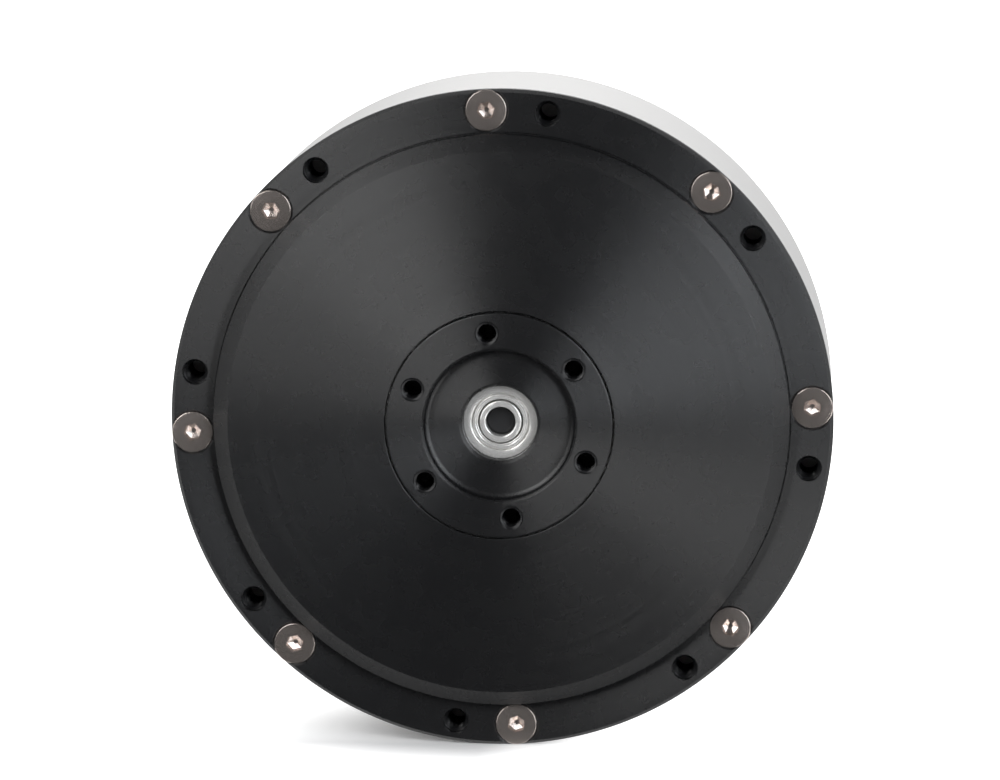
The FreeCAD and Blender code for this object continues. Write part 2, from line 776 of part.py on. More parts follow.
def front_cover():
    """Mounting rim, dome with the output bore, bearing pocket and the tube inside the stator."""
    spigot = housing_bore - 2 * seat_fit
    spigot_rear = rim_thickness + spigot_length
    boss = tube_radius + stator_shoulder
    pocket = output_bearing.outside + seat_fit
    groove = output_bearing.outside + retainer_bite + 2 * seat_fit
    groove_rear = bearing_rear + retainer_thickness + seat_fit
    carrier_room = carrier_radius + running_gap
    ring_y = planet_y - side_play
    relief = output_bearing.outer_land - lip_relief
    relief_y = bearing_y - lip_relief_depth
    body = revolved([
        (lip_radius, lip_y), (dome_edge, dome_edge_y), (foot_radius, -dome_foot_wall),
        (foot_radius, 0), (rim_radius - rim_chamfer, 0), (rim_radius, rim_chamfer),
        (rim_radius, rim_thickness), (spigot, rim_thickness), (spigot, spigot_rear),
        (spigot - spigot_width, spigot_rear), (spigot - spigot_width, cover_back), (boss, cover_back),
        (boss, stator_y), (tube_radius, stator_y), (tube_radius, stator_rear),
        (tube_bore, stator_rear), (tube_bore, ring_y), (carrier_room, ring_y),
        (carrier_room, groove_rear), (groove, groove_rear), (groove, bearing_rear),
        (pocket, bearing_rear), (pocket, bearing_y), (relief, bearing_y),
        (relief, relief_y), (lip_radius, relief_y),
    ])
    cuts = [sunk_hole(m3_close_radius, m3_head_radius, angle, bolt_circle, 0, rim_thickness + 1)
            for angle in rim_screw_angles]
    cuts += [rod(mount_hole_radius, angle, bolt_circle, -1, rim_thickness + 1)
             for angle in mount_hole_angles]
    cuts.append(lead_slot(spigot - spigot_width - 1, spigot + 1, rim_thickness, spigot_rear + 1))
    return body.cut(cuts)


def rim_screws():
    """Countersunk screws through the rim into the housing wall."""
    return Part.makeCompound([
        sunk_screw(m3_radius, m3_head_radius, angle, bolt_circle, 0, rim_screw_length)
        for angle in rim_screw_angles
    ])


def bearing_retainer():
    """Open retaining ring behind the output bearing."""
    inner = output_bearing.outside - retainer_overlap
    outer = output_bearing.outside + retainer_bite
    body = ring(inner, outer, bearing_rear, bearing_rear + retainer_thickness)
    half = retainer_gap / 2
    gap = box((inner - 2, bearing_rear - 1, -half), (outer + 2, bearing_rear + 2, half))
    return body.cut(turned(gap, 270))


# ---------------------------------------------------------------- motor housing

def sector(inner, outer, y, y_end, start, end):
    """Block between two radii and two angles."""
    points = [place(radius, start, height) for radius, height in
              ((inner, y), (outer, y), (outer, y_end), (inner, y_end))]
    face = Part.Face(Part.makePolygon(points + points[:1]))
    return face.revolve(ORIGIN, FRONT, end - start)


def mosfet_span():
    """Angles at the two ends of the MOSFET row."""
    return mosfet_angles[0] - mosfet_margin, mosfet_angles[-1] + mosfet_margin


def motor_housing():
    """Cup behind the rim: outer wall, rear wall, rear bearing boss, pillars and board bosses."""
    boss = rear_bearing.outside + boss_wall
    seat = rear_bearing.outside + seat_fit
    lip = rear_bearing.outside - bearing_lip
    step = cover_bore - 2 * seat_fit
    step_rear = body_rear + cover_spigot
    relief = housing_bore + housing_relief
    body = revolved([
        (housing_bore, rim_thickness), (housing_radius, rim_thickness),
        (housing_radius, body_rear), (step, body_rear), (step, step_rear),
        (step - cover_spigot_wall, step_rear), (step - cover_spigot_wall, body_rear),
        (boss, body_rear), (boss, boss_rear), (lip, boss_rear), (lip, boss_rear - boss_lip),
        (seat, boss_rear - boss_lip), (seat, rear_bearing_y), (boss, rear_bearing_y),
        (boss, wall_y), (relief - inner_corner, wall_y), (relief, wall_y - inner_corner),
        (relief, housing_relief_y), (housing_bore, housing_relief_y - housing_relief),
    ])
    body = body.makeFillet(housing_fillet, circle_edges(body, housing_radius, body_rear))
    solids = [rod(pillar_radius, angle, pillar_circle, body_rear - 1, cover_rear - rear_cover_wall)
              for angle in pillar_angles]
    solids += [rod(board_boss_radius, angle, board_boss_circle, body_rear - 1, board_y)
               for angle in board_boss_angles]
    start, end = mosfet_span()
    land = pad_width / 2 + pad_margin
    solids.append(sector(mosfet_circle - land, mosfet_circle + land, body_rear - 1, pad_y, start, end))
    cuts = [rod(m3_radius + seat_fit, angle, bolt_circle, 0, rim_screw_length + thread_run)
            for angle in rim_screw_angles]
    cuts += [rod(m3_radius, angle, bolt_circle, 0, rim_thickness + mount_thread_depth)
             for angle in mount_hole_angles]
    cuts += [rod(m2_5_radius + seat_fit, angle, pillar_circle,
                 cover_rear - cover_screw_length - thread_run, cover_rear)
             for angle in pillar_angles]
    cuts += [rod(m2_radius + seat_fit, angle, board_boss_circle,
                 board_y - board_screw_reach - thread_run, board_y + 1)
             for angle in board_boss_angles]
    lead_space = lead_radius + lead_room
    cuts.append(lead_slot(housing_bore - 1, lead_outer + lead_space, 0, wall_y))
    cuts.append(lead_slot(lead_inner - lead_space, lead_inner + lead_space, wall_y - 1, body_rear + 1))
    return joined(body, *solids).cut(cuts)


def wave_washer_ring():
    """Spring washer that preloads the rear bearing."""
    outer = rear_bearing.outside - seat_fit
    return ring(outer - wave_washer_width, outer, rear_bearing_rear, rear_bearing_rear + wave_washer)


# ---------------------------------------------------------------- driver board

def driver_board():
    """Round circuit board with notches for the pillars and holes for its screws."""
    body = rod(board_radius, 0, 0, board_y, board_rear)
    cuts = [rod(pillar_radius + pillar_gap, angle, pillar_circle, board_y - 1, board_rear + 1)
            for angle in pillar_angles]
    cuts += [rod(m2_radius + board_hole_gap, angle, board_boss_circle, board_y - 1, board_rear + 1)
             for angle in board_boss_angles]
    return body.cut(cuts)


def board_screws():
    """Pan-head screws that hold the board on its bosses."""
    screws = []
    for angle in board_boss_angles:
        head = rod(m2_head_radius, angle, board_boss_circle, board_rear, board_rear + m2_head_height)
        shank = rod(m2_radius, angle, board_boss_circle, board_y - board_screw_reach, board_rear)
        screws.append(joined(head, shank))
    return Part.makeCompound(screws)


def thermal_pad():
    """Soft pad between the MOSFETs and the housing's raised land."""
    start, end = mosfet_span()
    return sector(mosfet_circle - pad_width / 2, mosfet_circle + pad_width / 2, pad_y, mosfet_y,
                  start + pad_end, end - pad_end)


def mosfets():
    """Power transistors in a row on the front of the board."""
    along = mosfet_length / 2
    side = mosfet_width / 2
    package = box((mosfet_circle - along, mosfet_y, -side), (mosfet_circle + along, board_y, side))
    return Part.makeCompound([turned(package, angle) for angle in mosfet_angles])


def encoder_sensor():
    """Angle sensor chip on the output axis, facing the magnet."""
    half = sensor_width / 2
    return box((-half, board_y - chip_thickness, -half), (half, board_y, half))


def controller_chip():
    """Motor controller on the rear of the board."""
    half = controller_width / 2
    low = controller_shift - half
    high = controller_shift + half
    return box((low, board_rear, low), (high, board_rear + controller_height, high))


def capacitors():
    """Round supply capacitors standing on the rear of the board."""
    circle = board_radius - capacitor_inset
    return Part.makeCompound([
        rod(capacitor_radius, capacitor_phase + capacitor_step * i, circle, board_rear,
            board_rear + capacitor_height)
        for i in range(capacitor_count)
    ])


def socket_shell(centre, width, height, length, reach, wall, cavity, bevel):
    """Right-angle socket on the board, open towards -X, with two bevelled corners."""
    def prism(shrink, x, x_end):
        low = board_rear + shrink
        high = board_rear + height - shrink
        side = width / 2 - shrink
        cut = bevel - shrink * (2 - math.sqrt(2))
        points = [(low, -side), (low, side), (high - cut, side), (high, side - cut),
                  (high, -side + cut), (high - cut, -side)]
        corners = [FreeCAD.Vector(x, y, centre + z) for y, z in points]
        return Part.Face(Part.makePolygon(corners + corners[:1])).extrude(
            FreeCAD.Vector(x_end - x, 0, 0))
    return prism(0, -reach, -reach + length).cut(prism(wall, -reach - 1, -reach + cavity))


def round_pin(centre, x, x_end):
    """Power pin along X, with a leg down to the board at its inner end."""
    radius = power_pin_radius
    start = FreeCAD.Vector(x, board_rear + power_height / 2, centre)
    foot = FreeCAD.Vector(x_end - radius, board_rear, centre)
    run = Part.makeCylinder(radius, x_end - x, start, FreeCAD.Vector(1, 0, 0))
    leg = Part.makeCylinder(radius, power_height / 2, foot, FreeCAD.Vector(0, 1, 0))
    return joined(run, leg)


def square_pin(centre, x, x_end):
    """Signal pin along X, with a leg down to the board at its inner end."""
    half = signal_pin_width / 2
    middle = board_rear + signal_height / 2
    run = box((x, middle - half, centre - half), (x_end, middle + half, centre + half))
    leg = box((x_end - 2 * half, board_rear, centre - half), (x_end, middle, centre + half))
    return joined(run, leg)


def power_socket():
    """Two-pin power socket."""
    shell = socket_shell(power_centre, power_width, power_height, power_length, power_reach,
                         power_wall, power_cavity, power_bevel)
    holes = [
        Part.makeCylinder(power_pin_radius + seat_fit, power_length + 1,
                          FreeCAD.Vector(-power_reach, board_rear + power_height / 2, centre),
                          FreeCAD.Vector(1, 0, 0))
        for centre in power_pin_places()
    ]
    return shell.cut(holes)


def power_pin_places():
    """Z of each power pin."""
    return [power_centre + side * power_pin_pitch / 2 for side in (-1, 1)]


def power_pins():
    """Round contact pins of the power socket."""
    return Part.makeCompound([
        round_pin(centre, power_pin_sink - power_reach, power_length + power_pin_foot - power_reach)
        for centre in power_pin_places()
    ])


def signal_pin_places(name):
    """Z of each pin of a signal socket."""
    centre, count = signal_sockets[name]
    return [centre + signal_pitch * (i - (count - 1) / 2) for i in range(count)]


def signal_socket(name):
    """Small signal socket."""
    centre, count = signal_sockets[name]
    width = signal_pitch * (count + 1) + 2 * signal_wall
    shell = socket_shell(centre, width, signal_height, signal_length, signal_reach, signal_wall,
                         signal_cavity, signal_bevel)
    half = signal_pin_width / 2 + seat_fit
    middle = board_rear + signal_height / 2
    end = signal_length + 1 - signal_reach
    holes = [box((-signal_reach, middle - half, z - half), (end, middle + half, z + half))
             for z in signal_pin_places(name)]
    return shell.cut(holes)


def signal_pins():
    """Contact pins of both signal sockets."""
    return Part.makeCompound([
        square_pin(z, signal_pin_sink - signal_reach, signal_length + signal_pin_foot - signal_reach)
        for name in signal_sockets for z in signal_pin_places(name)
    ])


def phase_lead(side):
    """One insulated lead: out of the winding, back past the rotor, in and through to the board."""
    front = cover_back + lead_radius + lead_rise
    gap = (web_rear + wall_y) / 2
    start = stator_bore + stator_yoke + lead_start
    route = [(start, coil_y), (start, front), (lead_outer, front), (lead_outer, gap),
             (lead_inner, gap), (lead_inner, board_y)]
    points = [FreeCAD.Vector(radius, y, side * lead_pitch) for radius, y in route]
    edges = []
    here = points[0]
    for before, corner, after in zip(points, points[1:], points[2:]):
        inward = (corner - before).normalize()
        onward = (after - corner).normalize()
        arc_start = corner - inward * lead_bend
        arc_end = corner + onward * lead_bend
        centre = arc_start + onward * lead_bend
        middle = centre + (corner - centre).normalize() * lead_bend
        edges.append(Part.LineSegment(here, arc_start).toShape())
        edges.append(Part.Arc(arc_start, middle, arc_end).toShape())
        here = arc_end
    edges.append(Part.LineSegment(here, points[-1]).toShape())
    turns = [math.radians(22.5 + 45.0 * i) for i in range(8)]
    corners = [points[0] + FreeCAD.Vector(lead_radius * math.cos(turn), 0, lead_radius * math.sin(turn))
               for turn in turns]
    section = Part.makePolygon(corners + corners[:1])
    return turned(Part.Wire(edges).makePipeShell([section], True, True), lead_angle)


def phase_leads():
    """The three phase leads side by side."""
    middle = (lead_count - 1) / 2
    return Part.makeCompound([phase_lead(i - middle) for i in range(lead_count)])


# ---------------------------------------------------------------- rear cover

def rear_cover():
    """Cup over the driver board, with one window for the sockets."""
    inside = cover_rear - rear_cover_wall
    body = revolved([
        (cover_bore, body_rear), (rear_cover_radius, body_rear), (rear_cover_radius, cover_rear),
        (0, cover_rear), (0, inside), (cover_bore - inner_corner, inside),
        (cover_bore, inside - inner_corner),
    ])
    body = body.makeFillet(rear_cover_fillet, circle_edges(body, rear_cover_radius, cover_rear))
    low = power_centre - power_width / 2 - window_margin
    last_centre, last_count = signal_sockets["serial_socket"]
    high = last_centre + signal_pitch * (last_count + 1) / 2 + signal_wall + window_margin
    inner = -math.sqrt(cover_bore ** 2 - max(abs(low), abs(high)) ** 2) + 1
    window = box((-rear_cover_radius - 1, board_rear - window_floor, low),
                 (inner, board_rear + power_height + window_margin, high))
    corners = [edge for edge in window.Edges if abs(edge.tangentAt(edge.FirstParameter).x) > 0.9]
    cuts = [window.makeFillet(window_corner, corners)]
    for angle in pillar_angles:
        cuts.append(sunk_hole(m2_5_close_radius, m2_5_head_radius, angle, pillar_circle,
                              cover_rear, inside - 1))
    return body.cut(cuts)


def rear_cover_screws():
    """Countersunk screws through the rear cover into the pillars."""
    return Part.makeCompound([
        sunk_screw(m2_5_radius, m2_5_head_radius, angle, pillar_circle, cover_rear,
                   cover_rear - cover_screw_length)
        for angle in pillar_angles
    ])


# ---------------------------------------------------------------- nodes

def build():
    """All nodes by name."""
    nodes = {
        "front_cover": front_cover(),
        "rim_screws": rim_screws(),
        "motor_housing": motor_housing(),
        "bearing_retainer": bearing_retainer(),
        "ring_gear": ring_gear(),
        "stator_core": stator_core(),
        "stator_end_rings": stator_end_rings(),
        "stator_coils": stator_coils(),
        "phase_leads": phase_leads(),
        "output_bearing_outer": outer_race(output_bearing, bearing_y),
        "output_bearing_inner": inner_race(output_bearing, bearing_y),
        "output_bearing_balls": caged_balls(output_bearing, bearing_y),
        "rear_bearing_outer": outer_race(rear_bearing, rear_bearing_y),
        "rear_bearing_inner": inner_race(rear_bearing, rear_bearing_y),
        "rear_bearing_balls": caged_balls(rear_bearing, rear_bearing_y),
        "tip_bearing_outer": outer_race(tip_bearing, tip_face_y),
        "tip_bearing_inner": inner_race(tip_bearing, tip_face_y),
        "tip_bearing_balls": caged_balls(tip_bearing, tip_face_y),
        "tip_bearing_shields": tip_shields(),
        "wave_washer": wave_washer_ring(),
        "output_flange": output_flange(),
        "carrier_front": carrier_front(),
        "carrier_rear": carrier_rear(),
        "carrier_posts": carrier_posts(),
        "carrier_screws": carrier_screws(),
        "flange_screws": flange_screws(),
        "planet_pins": planet_pins(),
        "planet_washers": planet_washers(),
        "sun_pinion": sun_pinion(),
        "rotor_bell": rotor_bell(),
        "flux_ring": flux_ring(),
        "rotor_magnets": rotor_magnets(),
        "magnet_holder": magnet_holder(),
        "encoder_magnet": encoder_magnet(),
        "driver_board": driver_board(),
        "board_screws": board_screws(),
        "thermal_pad": thermal_pad(),
        "mosfets": mosfets(),
        "encoder_sensor": encoder_sensor(),
        "controller_chip": controller_chip(),
        "capacitors": capacitors(),
        "power_socket": power_socket(),
        "power_pins": power_pins(),
        "can_socket": signal_socket("can_socket"),
        "serial_socket": signal_socket("serial_socket"),
        "signal_pins": signal_pins(),
        "rear_cover": rear_cover(),
        "rear_cover_screws": rear_cover_screws(),
    }
    for number, angle in enumerate(planet_angles, 1):
        nodes[f"planet_gear_{number}"] = planet_gear(angle)
        nodes[f"planet_bush_{number}"] = planet_bush(angle)
    return nodes


os.makedirs("parts", exist_ok=True)
for name, shape in build().items():
    shape.exportStep(f"parts/{name}.step")
    print(f"{name}: {len(shape.Solids)} solids, {shape.Volume:.1f} mm3, valid {shape.isValid()}")
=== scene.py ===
"""Looks of a robot joint actuator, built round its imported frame."""

import json
import logging
import math
from dataclasses import asdict, dataclass, field, fields
from enum import Enum
from typing import Any, Callable, Iterable, Optional, Sequence, Union

import bmesh
import bpy
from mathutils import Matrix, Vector


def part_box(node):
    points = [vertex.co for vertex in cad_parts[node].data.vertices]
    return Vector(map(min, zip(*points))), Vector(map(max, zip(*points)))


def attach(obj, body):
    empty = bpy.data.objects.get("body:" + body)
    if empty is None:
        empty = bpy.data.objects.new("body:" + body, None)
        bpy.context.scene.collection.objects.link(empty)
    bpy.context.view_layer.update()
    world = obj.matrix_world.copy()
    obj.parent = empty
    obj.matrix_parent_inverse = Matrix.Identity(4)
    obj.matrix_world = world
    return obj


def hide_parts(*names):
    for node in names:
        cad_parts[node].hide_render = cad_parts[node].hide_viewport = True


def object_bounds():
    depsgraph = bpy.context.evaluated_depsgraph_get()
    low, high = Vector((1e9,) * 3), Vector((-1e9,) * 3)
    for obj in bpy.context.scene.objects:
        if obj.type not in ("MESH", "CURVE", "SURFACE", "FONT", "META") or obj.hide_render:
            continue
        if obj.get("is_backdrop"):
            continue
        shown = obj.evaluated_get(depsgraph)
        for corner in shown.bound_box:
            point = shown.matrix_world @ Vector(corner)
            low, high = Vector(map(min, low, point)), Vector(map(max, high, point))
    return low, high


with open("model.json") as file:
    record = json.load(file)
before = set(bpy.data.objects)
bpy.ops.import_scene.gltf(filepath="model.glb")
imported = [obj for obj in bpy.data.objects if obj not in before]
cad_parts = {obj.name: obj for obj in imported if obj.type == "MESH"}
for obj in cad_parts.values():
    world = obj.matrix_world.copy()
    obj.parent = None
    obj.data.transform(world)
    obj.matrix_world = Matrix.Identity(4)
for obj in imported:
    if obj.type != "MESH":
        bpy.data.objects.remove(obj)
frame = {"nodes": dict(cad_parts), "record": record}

LOG = logging.getLogger("actuator")
MM = 0.001
SHARP = math.radians(28.0)
ARC_STEP = math.radians(18)
LEG_SHARE = 0.45
SENSOR = 36.0
WHITE = (1.0, 1.0, 1.0)
AXIS = (0.0, 0.0)

Point = tuple[float, float, float]
Colour = tuple[float, float, float]
Key = Union[int, str]
Pair = tuple[float, float]


class Slot(str, Enum):
    """Material slots that new pieces take."""

    BLACK = "black_anodised"
    BEARING = "bearing_steel"
    SCREW = "screw_steel"


class Body(str, Enum):
    """Bodies of the frame that carry new pieces."""

    HOUSING = "housing"
    ROTOR = "rotor"
    OUTPUT = "output"


class Facing(Enum):
    """Way that a screw's head or a hole's mouth looks along the axis."""

    FRONT = 1
    REAR = -1


# ---------------------------------------------------------------- node trees


def operator(operation: str, swapped: bool = False) -> Callable[["Value", "Term"], "Value"]:
    """Operator of Value that adds a Math node.

    Args:
        operation: Operation of the node.
        swapped: Whether the value stands second, as in 1 - value.

    Returns:
        The operator's method.
    """

    def result(value: "Value", other: "Term") -> "Value":
        """Outcome of the operation."""
        terms = (other, value) if swapped else (value, other)
        return value.graph.maths(operation, *terms)

    return result


class Value:
    """A node's output that can stand in an expression."""

    def __init__(self, graph: "Graph", node: bpy.types.Node, key: Key) -> None:
        """Hold one output of a node.

        Args:
            graph: The graph that the node belongs to.
            node: The node.
            key: Name or number of the output.
        """
        self.graph = graph
        self.node = node
        self.socket = graph.find(node.outputs, key) if len(node.outputs) else None

    def take(self, key: Key) -> "Value":
        """Another output of the same node."""
        return Value(self.graph, self.node, key)

    __add__, __radd__ = operator("ADD"), operator("ADD", swapped=True)
    __sub__, __rsub__ = operator("SUBTRACT"), operator("SUBTRACT", swapped=True)
    __mul__, __rmul__ = operator("MULTIPLY"), operator("MULTIPLY", swapped=True)
    __truediv__, __rtruediv__ = operator("DIVIDE"), operator("DIVIDE", swapped=True)


Term = Union[Value, float, int, bool, str, tuple, bpy.types.ID, None]


class Graph:
    """Adds nodes to one node tree."""

    def __init__(self, tree: bpy.types.NodeTree) -> None:
        """Hold the tree that nodes are added to."""
        self.tree = tree

    @classmethod
    def of(cls, owner: Union[bpy.types.Material, bpy.types.World]) -> "Graph":
        """Empty graph of a material or of the world.

        Args:
            owner: What the nodes belong to.

        Returns:
            The graph.
        """
        owner.use_nodes = True
        owner.node_tree.nodes.clear()
        return cls(owner.node_tree)

    @staticmethod
    def find(sockets: Any, key: Key) -> bpy.types.NodeSocket:
        """Find a socket by number, or by name among those in use.

        Args:
            sockets: Inputs or outputs of a node.
            key: Number or name.

        Returns:
            The socket.
        """
        if isinstance(key, int):
            return sockets[key]
        live = [socket for socket in sockets if socket.name == key and socket.enabled]
        return live[0] if live else sockets[key]

    def node(
        self,
        kind: str,
        settings: Optional[dict[str, Any]] = None,
        values: Optional[dict[Key, Term]] = None,
        out: Key = 0,
    ) -> Value:
        """Add a node: its settings are made first, then its sockets.

        Args:
            kind: Type name of the node.
            settings: Properties of the node.
            values: Constants or links of its inputs, by name or number.
            out: The output that the result stands for.

        Returns:
            The output.
        """
        node = self.tree.nodes.new(kind)
        for name, setting in (settings or {}).items():
            setattr(node, name, setting)
        for key, value in (values or {}).items():
            target = self.find(node.inputs, key)
            if isinstance(value, Value):
                self.tree.links.new(value.socket, target)
            elif target.type == "RGBA" and len(value) == 3:
                target.default_value = (*value, 1.0)
            else:
                target.default_value = value
        return Value(self, node, out)

    def maths(self, operation: str, *terms: Term) -> Value:
        """Number out of numbers, by a Math node."""
        return self.node("ShaderNodeMath", {"operation": operation}, dict(enumerate(terms)))

    def clamp(self, value: Value, low: float, high: float) -> Value:
        """The value, kept between two levels."""
        return self.maths("MINIMUM", self.maths("MAXIMUM", value, low), high)

    def vector(self, operation: str, *terms: Term, **others: Term) -> Value:
        """Vector out of vectors and a scale, by a Vector Math node."""
        values = {**dict(enumerate(terms)), **others}
        return self.node("ShaderNodeVectorMath", {"operation": operation}, values, "Vector")

    def lean(self, normal: Value, push: Value) -> Value:
        """A direction pushed aside, of length one again."""
        return self.vector("NORMALIZE", self.vector("ADD", normal, push))

    def split(self, vector: Value) -> tuple[Value, Value, Value]:
        """X, Y and Z of a vector."""
        parts = self.node("ShaderNodeSeparateXYZ", values={0: vector})
        return parts, parts.take("Y"), parts.take("Z")

    def join(self, x: Term, y: Term, z: Term) -> Value:
        """Vector of three numbers."""
        return self.node("ShaderNodeCombineXYZ", values={0: x, 1: y, 2: z})

    def blend(self, share: Term, first: Term, second: Term) -> Value:
        """Colour between two colours, by a Mix node."""
        values: dict[Key, Term] = {"Factor": share, "A": first, "B": second}
        return self.node("ShaderNodeMix", {"data_type": "RGBA"}, values, "Result")

    def step(
        self, value: Term, low: float, high: float, start: float = 0.0, end: float = 1.0
    ) -> Value:
        """Smooth step from one level to another.

        Args:
            value: What the step follows.
            low: Value at which it begins.
            high: Value at which it is over.
            start: Level before it.
            end: Level after it.

        Returns:
            The level.
        """
        keys = ("Value", "From Min", "From Max", "To Min", "To Max")
        values: dict[Key, Term] = dict(zip(keys, (value, low, high, start, end)))
        smooth = {"interpolation_type": "SMOOTHSTEP"}
        return self.node("ShaderNodeMapRange", smooth, values, "Result")

    def noise(self, place: Value, scale: float, detail: float = 2.0) -> Value:
        """Smooth noise of a place in space."""
        values: dict[Key, Term] = {"Vector": place, "Scale": scale, "Detail": detail}
        return self.node("ShaderNodeTexNoise", {"noise_dimensions": "3D"}, values, "Fac")

    def bands(self, across: Value, scale: float) -> Value:
        """Smooth noise of one number."""
        values: dict[Key, Term] = {"W": across, "Scale": scale, "Detail": 2.0}
        return self.node("ShaderNodeTexNoise", {"noise_dimensions": "1D"}, values, "Fac")

    def dice(self, dimensions: str, key: Key, seed: Value, out: Key) -> Value:
        """Chance of a number or of a place, each of which has its own."""
        settings = {"noise_dimensions": dimensions}
        return self.node("ShaderNodeTexWhiteNoise", settings, {key: seed}, out)

    def bump(self, height: Value, distance: float) -> Value:
        """Normal of a relief whose full height is a distance in millimetres."""
        values: dict[Key, Term] = {"Strength": 1.0, "Distance": distance * MM, "Height": height}
        return self.node("ShaderNodeBump", values=values, out="Normal")


# ---------------------------------------------------------------- geometry trees


@dataclass(frozen=True)
class Thread:
    """Thread between two depths of a turned piece, in millimetres; its radius grows by depth."""

    depth: float
    pitch: float
    start: float
    end: float


PLAIN = Thread(0.0, 1.0, 0.0, 0.0)


@dataclass(frozen=True)
class Circle:
    """Circle of equal features: radius in millimetres and phase in degrees."""

    radius: float
    count: int
    phase: float


def linked(name: str, data: bpy.types.ID) -> bpy.types.Object:
    """New object of the scene.

    Args:
        name: Its name.
        data: Its mesh, lamp or camera.

    Returns:
        The object.
    """
    made = bpy.data.objects.new(name, data)
    bpy.context.scene.collection.objects.link(made)
    return made


def volume(mesh: bpy.types.Mesh) -> float:
    """Volume of a closed mesh.

    Args:
        mesh: The mesh.

    Returns:
        The volume, negative where the faces point inwards.
    """
    total = 0.0
    mesh.calc_loop_triangles()
    for triangle in mesh.loop_triangles:
        a, b, c = (mesh.vertices[i].co for i in triangle.vertices)
        total += a.dot(b.cross(c)) / 6.0
    return total


def faced_outwards(mesh: bpy.types.Mesh) -> None:
    """Turn the faces of a closed mesh round if they point inwards."""
    if volume(mesh) < 0:
        mesh.flip_normals()


class Recipe:
    """A Geometry Nodes tree with named inputs that makes a plain mesh."""

    def __init__(self, name: str, inputs: dict[str, str]) -> None:
        """Start the tree.

        Args:
            name: Name of the tree.
            inputs: Socket type of each named input, after the geometry and the material.
        """
        self.tree = bpy.data.node_groups.new(name, "GeometryNodeTree")
        self.graph = Graph(self.tree)
        plug = self.tree.interface.new_socket
        sockets = {"Geometry": "NodeSocketGeometry", "Material": "NodeSocketMaterial", **inputs}
        self.keys = {
            title: plug(title, in_out="INPUT", socket_type=kind).identifier
            for title, kind in sockets.items()
        }
        plug("Geometry", in_out="OUTPUT", socket_type="NodeSocketGeometry")
        self.group = self.graph.node("NodeGroupInput")

    def value(self, title: str) -> Value:
        """A named input as a value."""
        return self.group.take(title)

    def close(self, geometry: Value) -> None:
        """Realise, smooth and dress the geometry, and end the tree.

        Args:
            geometry: What the tree has made.
        """
        node, smooth = self.graph.node, "GeometryNodeSetShadeSmooth"
        angle = node("GeometryNodeInputMeshEdgeAngle", out="Unsigned Angle")
        sharp = self.graph.maths("GREATER_THAN", angle, SHARP)
        flat = self.graph.maths("LESS_THAN", angle, SHARP)
        whole = node("GeometryNodeRealizeInstances", values={"Geometry": geometry})
        faces = node(smooth, {"domain": "FACE"}, {"Geometry": whole, "Shade Smooth": True})
        chosen = {"Geometry": faces, "Selection": sharp, "Shade Smooth": flat}
        edges = node(smooth, {"domain": "EDGE"}, chosen)
        look = {"Geometry": edges, "Material": self.value("Material")}
        dressed = node("GeometryNodeSetMaterial", values=look)
        node("NodeGroupOutput", values={"Geometry": dressed})

    def make(
        self, name: str, mesh: bpy.types.Mesh, inputs: dict[str, Any]
    ) -> bpy.types.Object:
        """Run the tree on a mesh.

        Args:
            name: Name of the piece.
            mesh: The mesh that goes in.
            inputs: Values of the named inputs.

        Returns:
            A new object with a plain mesh.
        """
        source = linked(name + "_source", mesh)
        modifier = source.modifiers.new("recipe", "NODES")
        modifier.node_group = self.tree
        for title, value in inputs.items():
            modifier[self.keys[title]] = value
        source.modifiers.new("normals", "WEIGHTED_NORMAL").keep_sharp = True
        scene = bpy.context.evaluated_depsgraph_get()
        plain = bpy.data.meshes.new_from_object(
            source.evaluated_get(scene), preserve_all_data_layers=True, depsgraph=scene
        )
        source.modifiers.remove(modifier)
        bpy.data.objects.remove(source)
        plain.name = name
        return linked(name, plain)


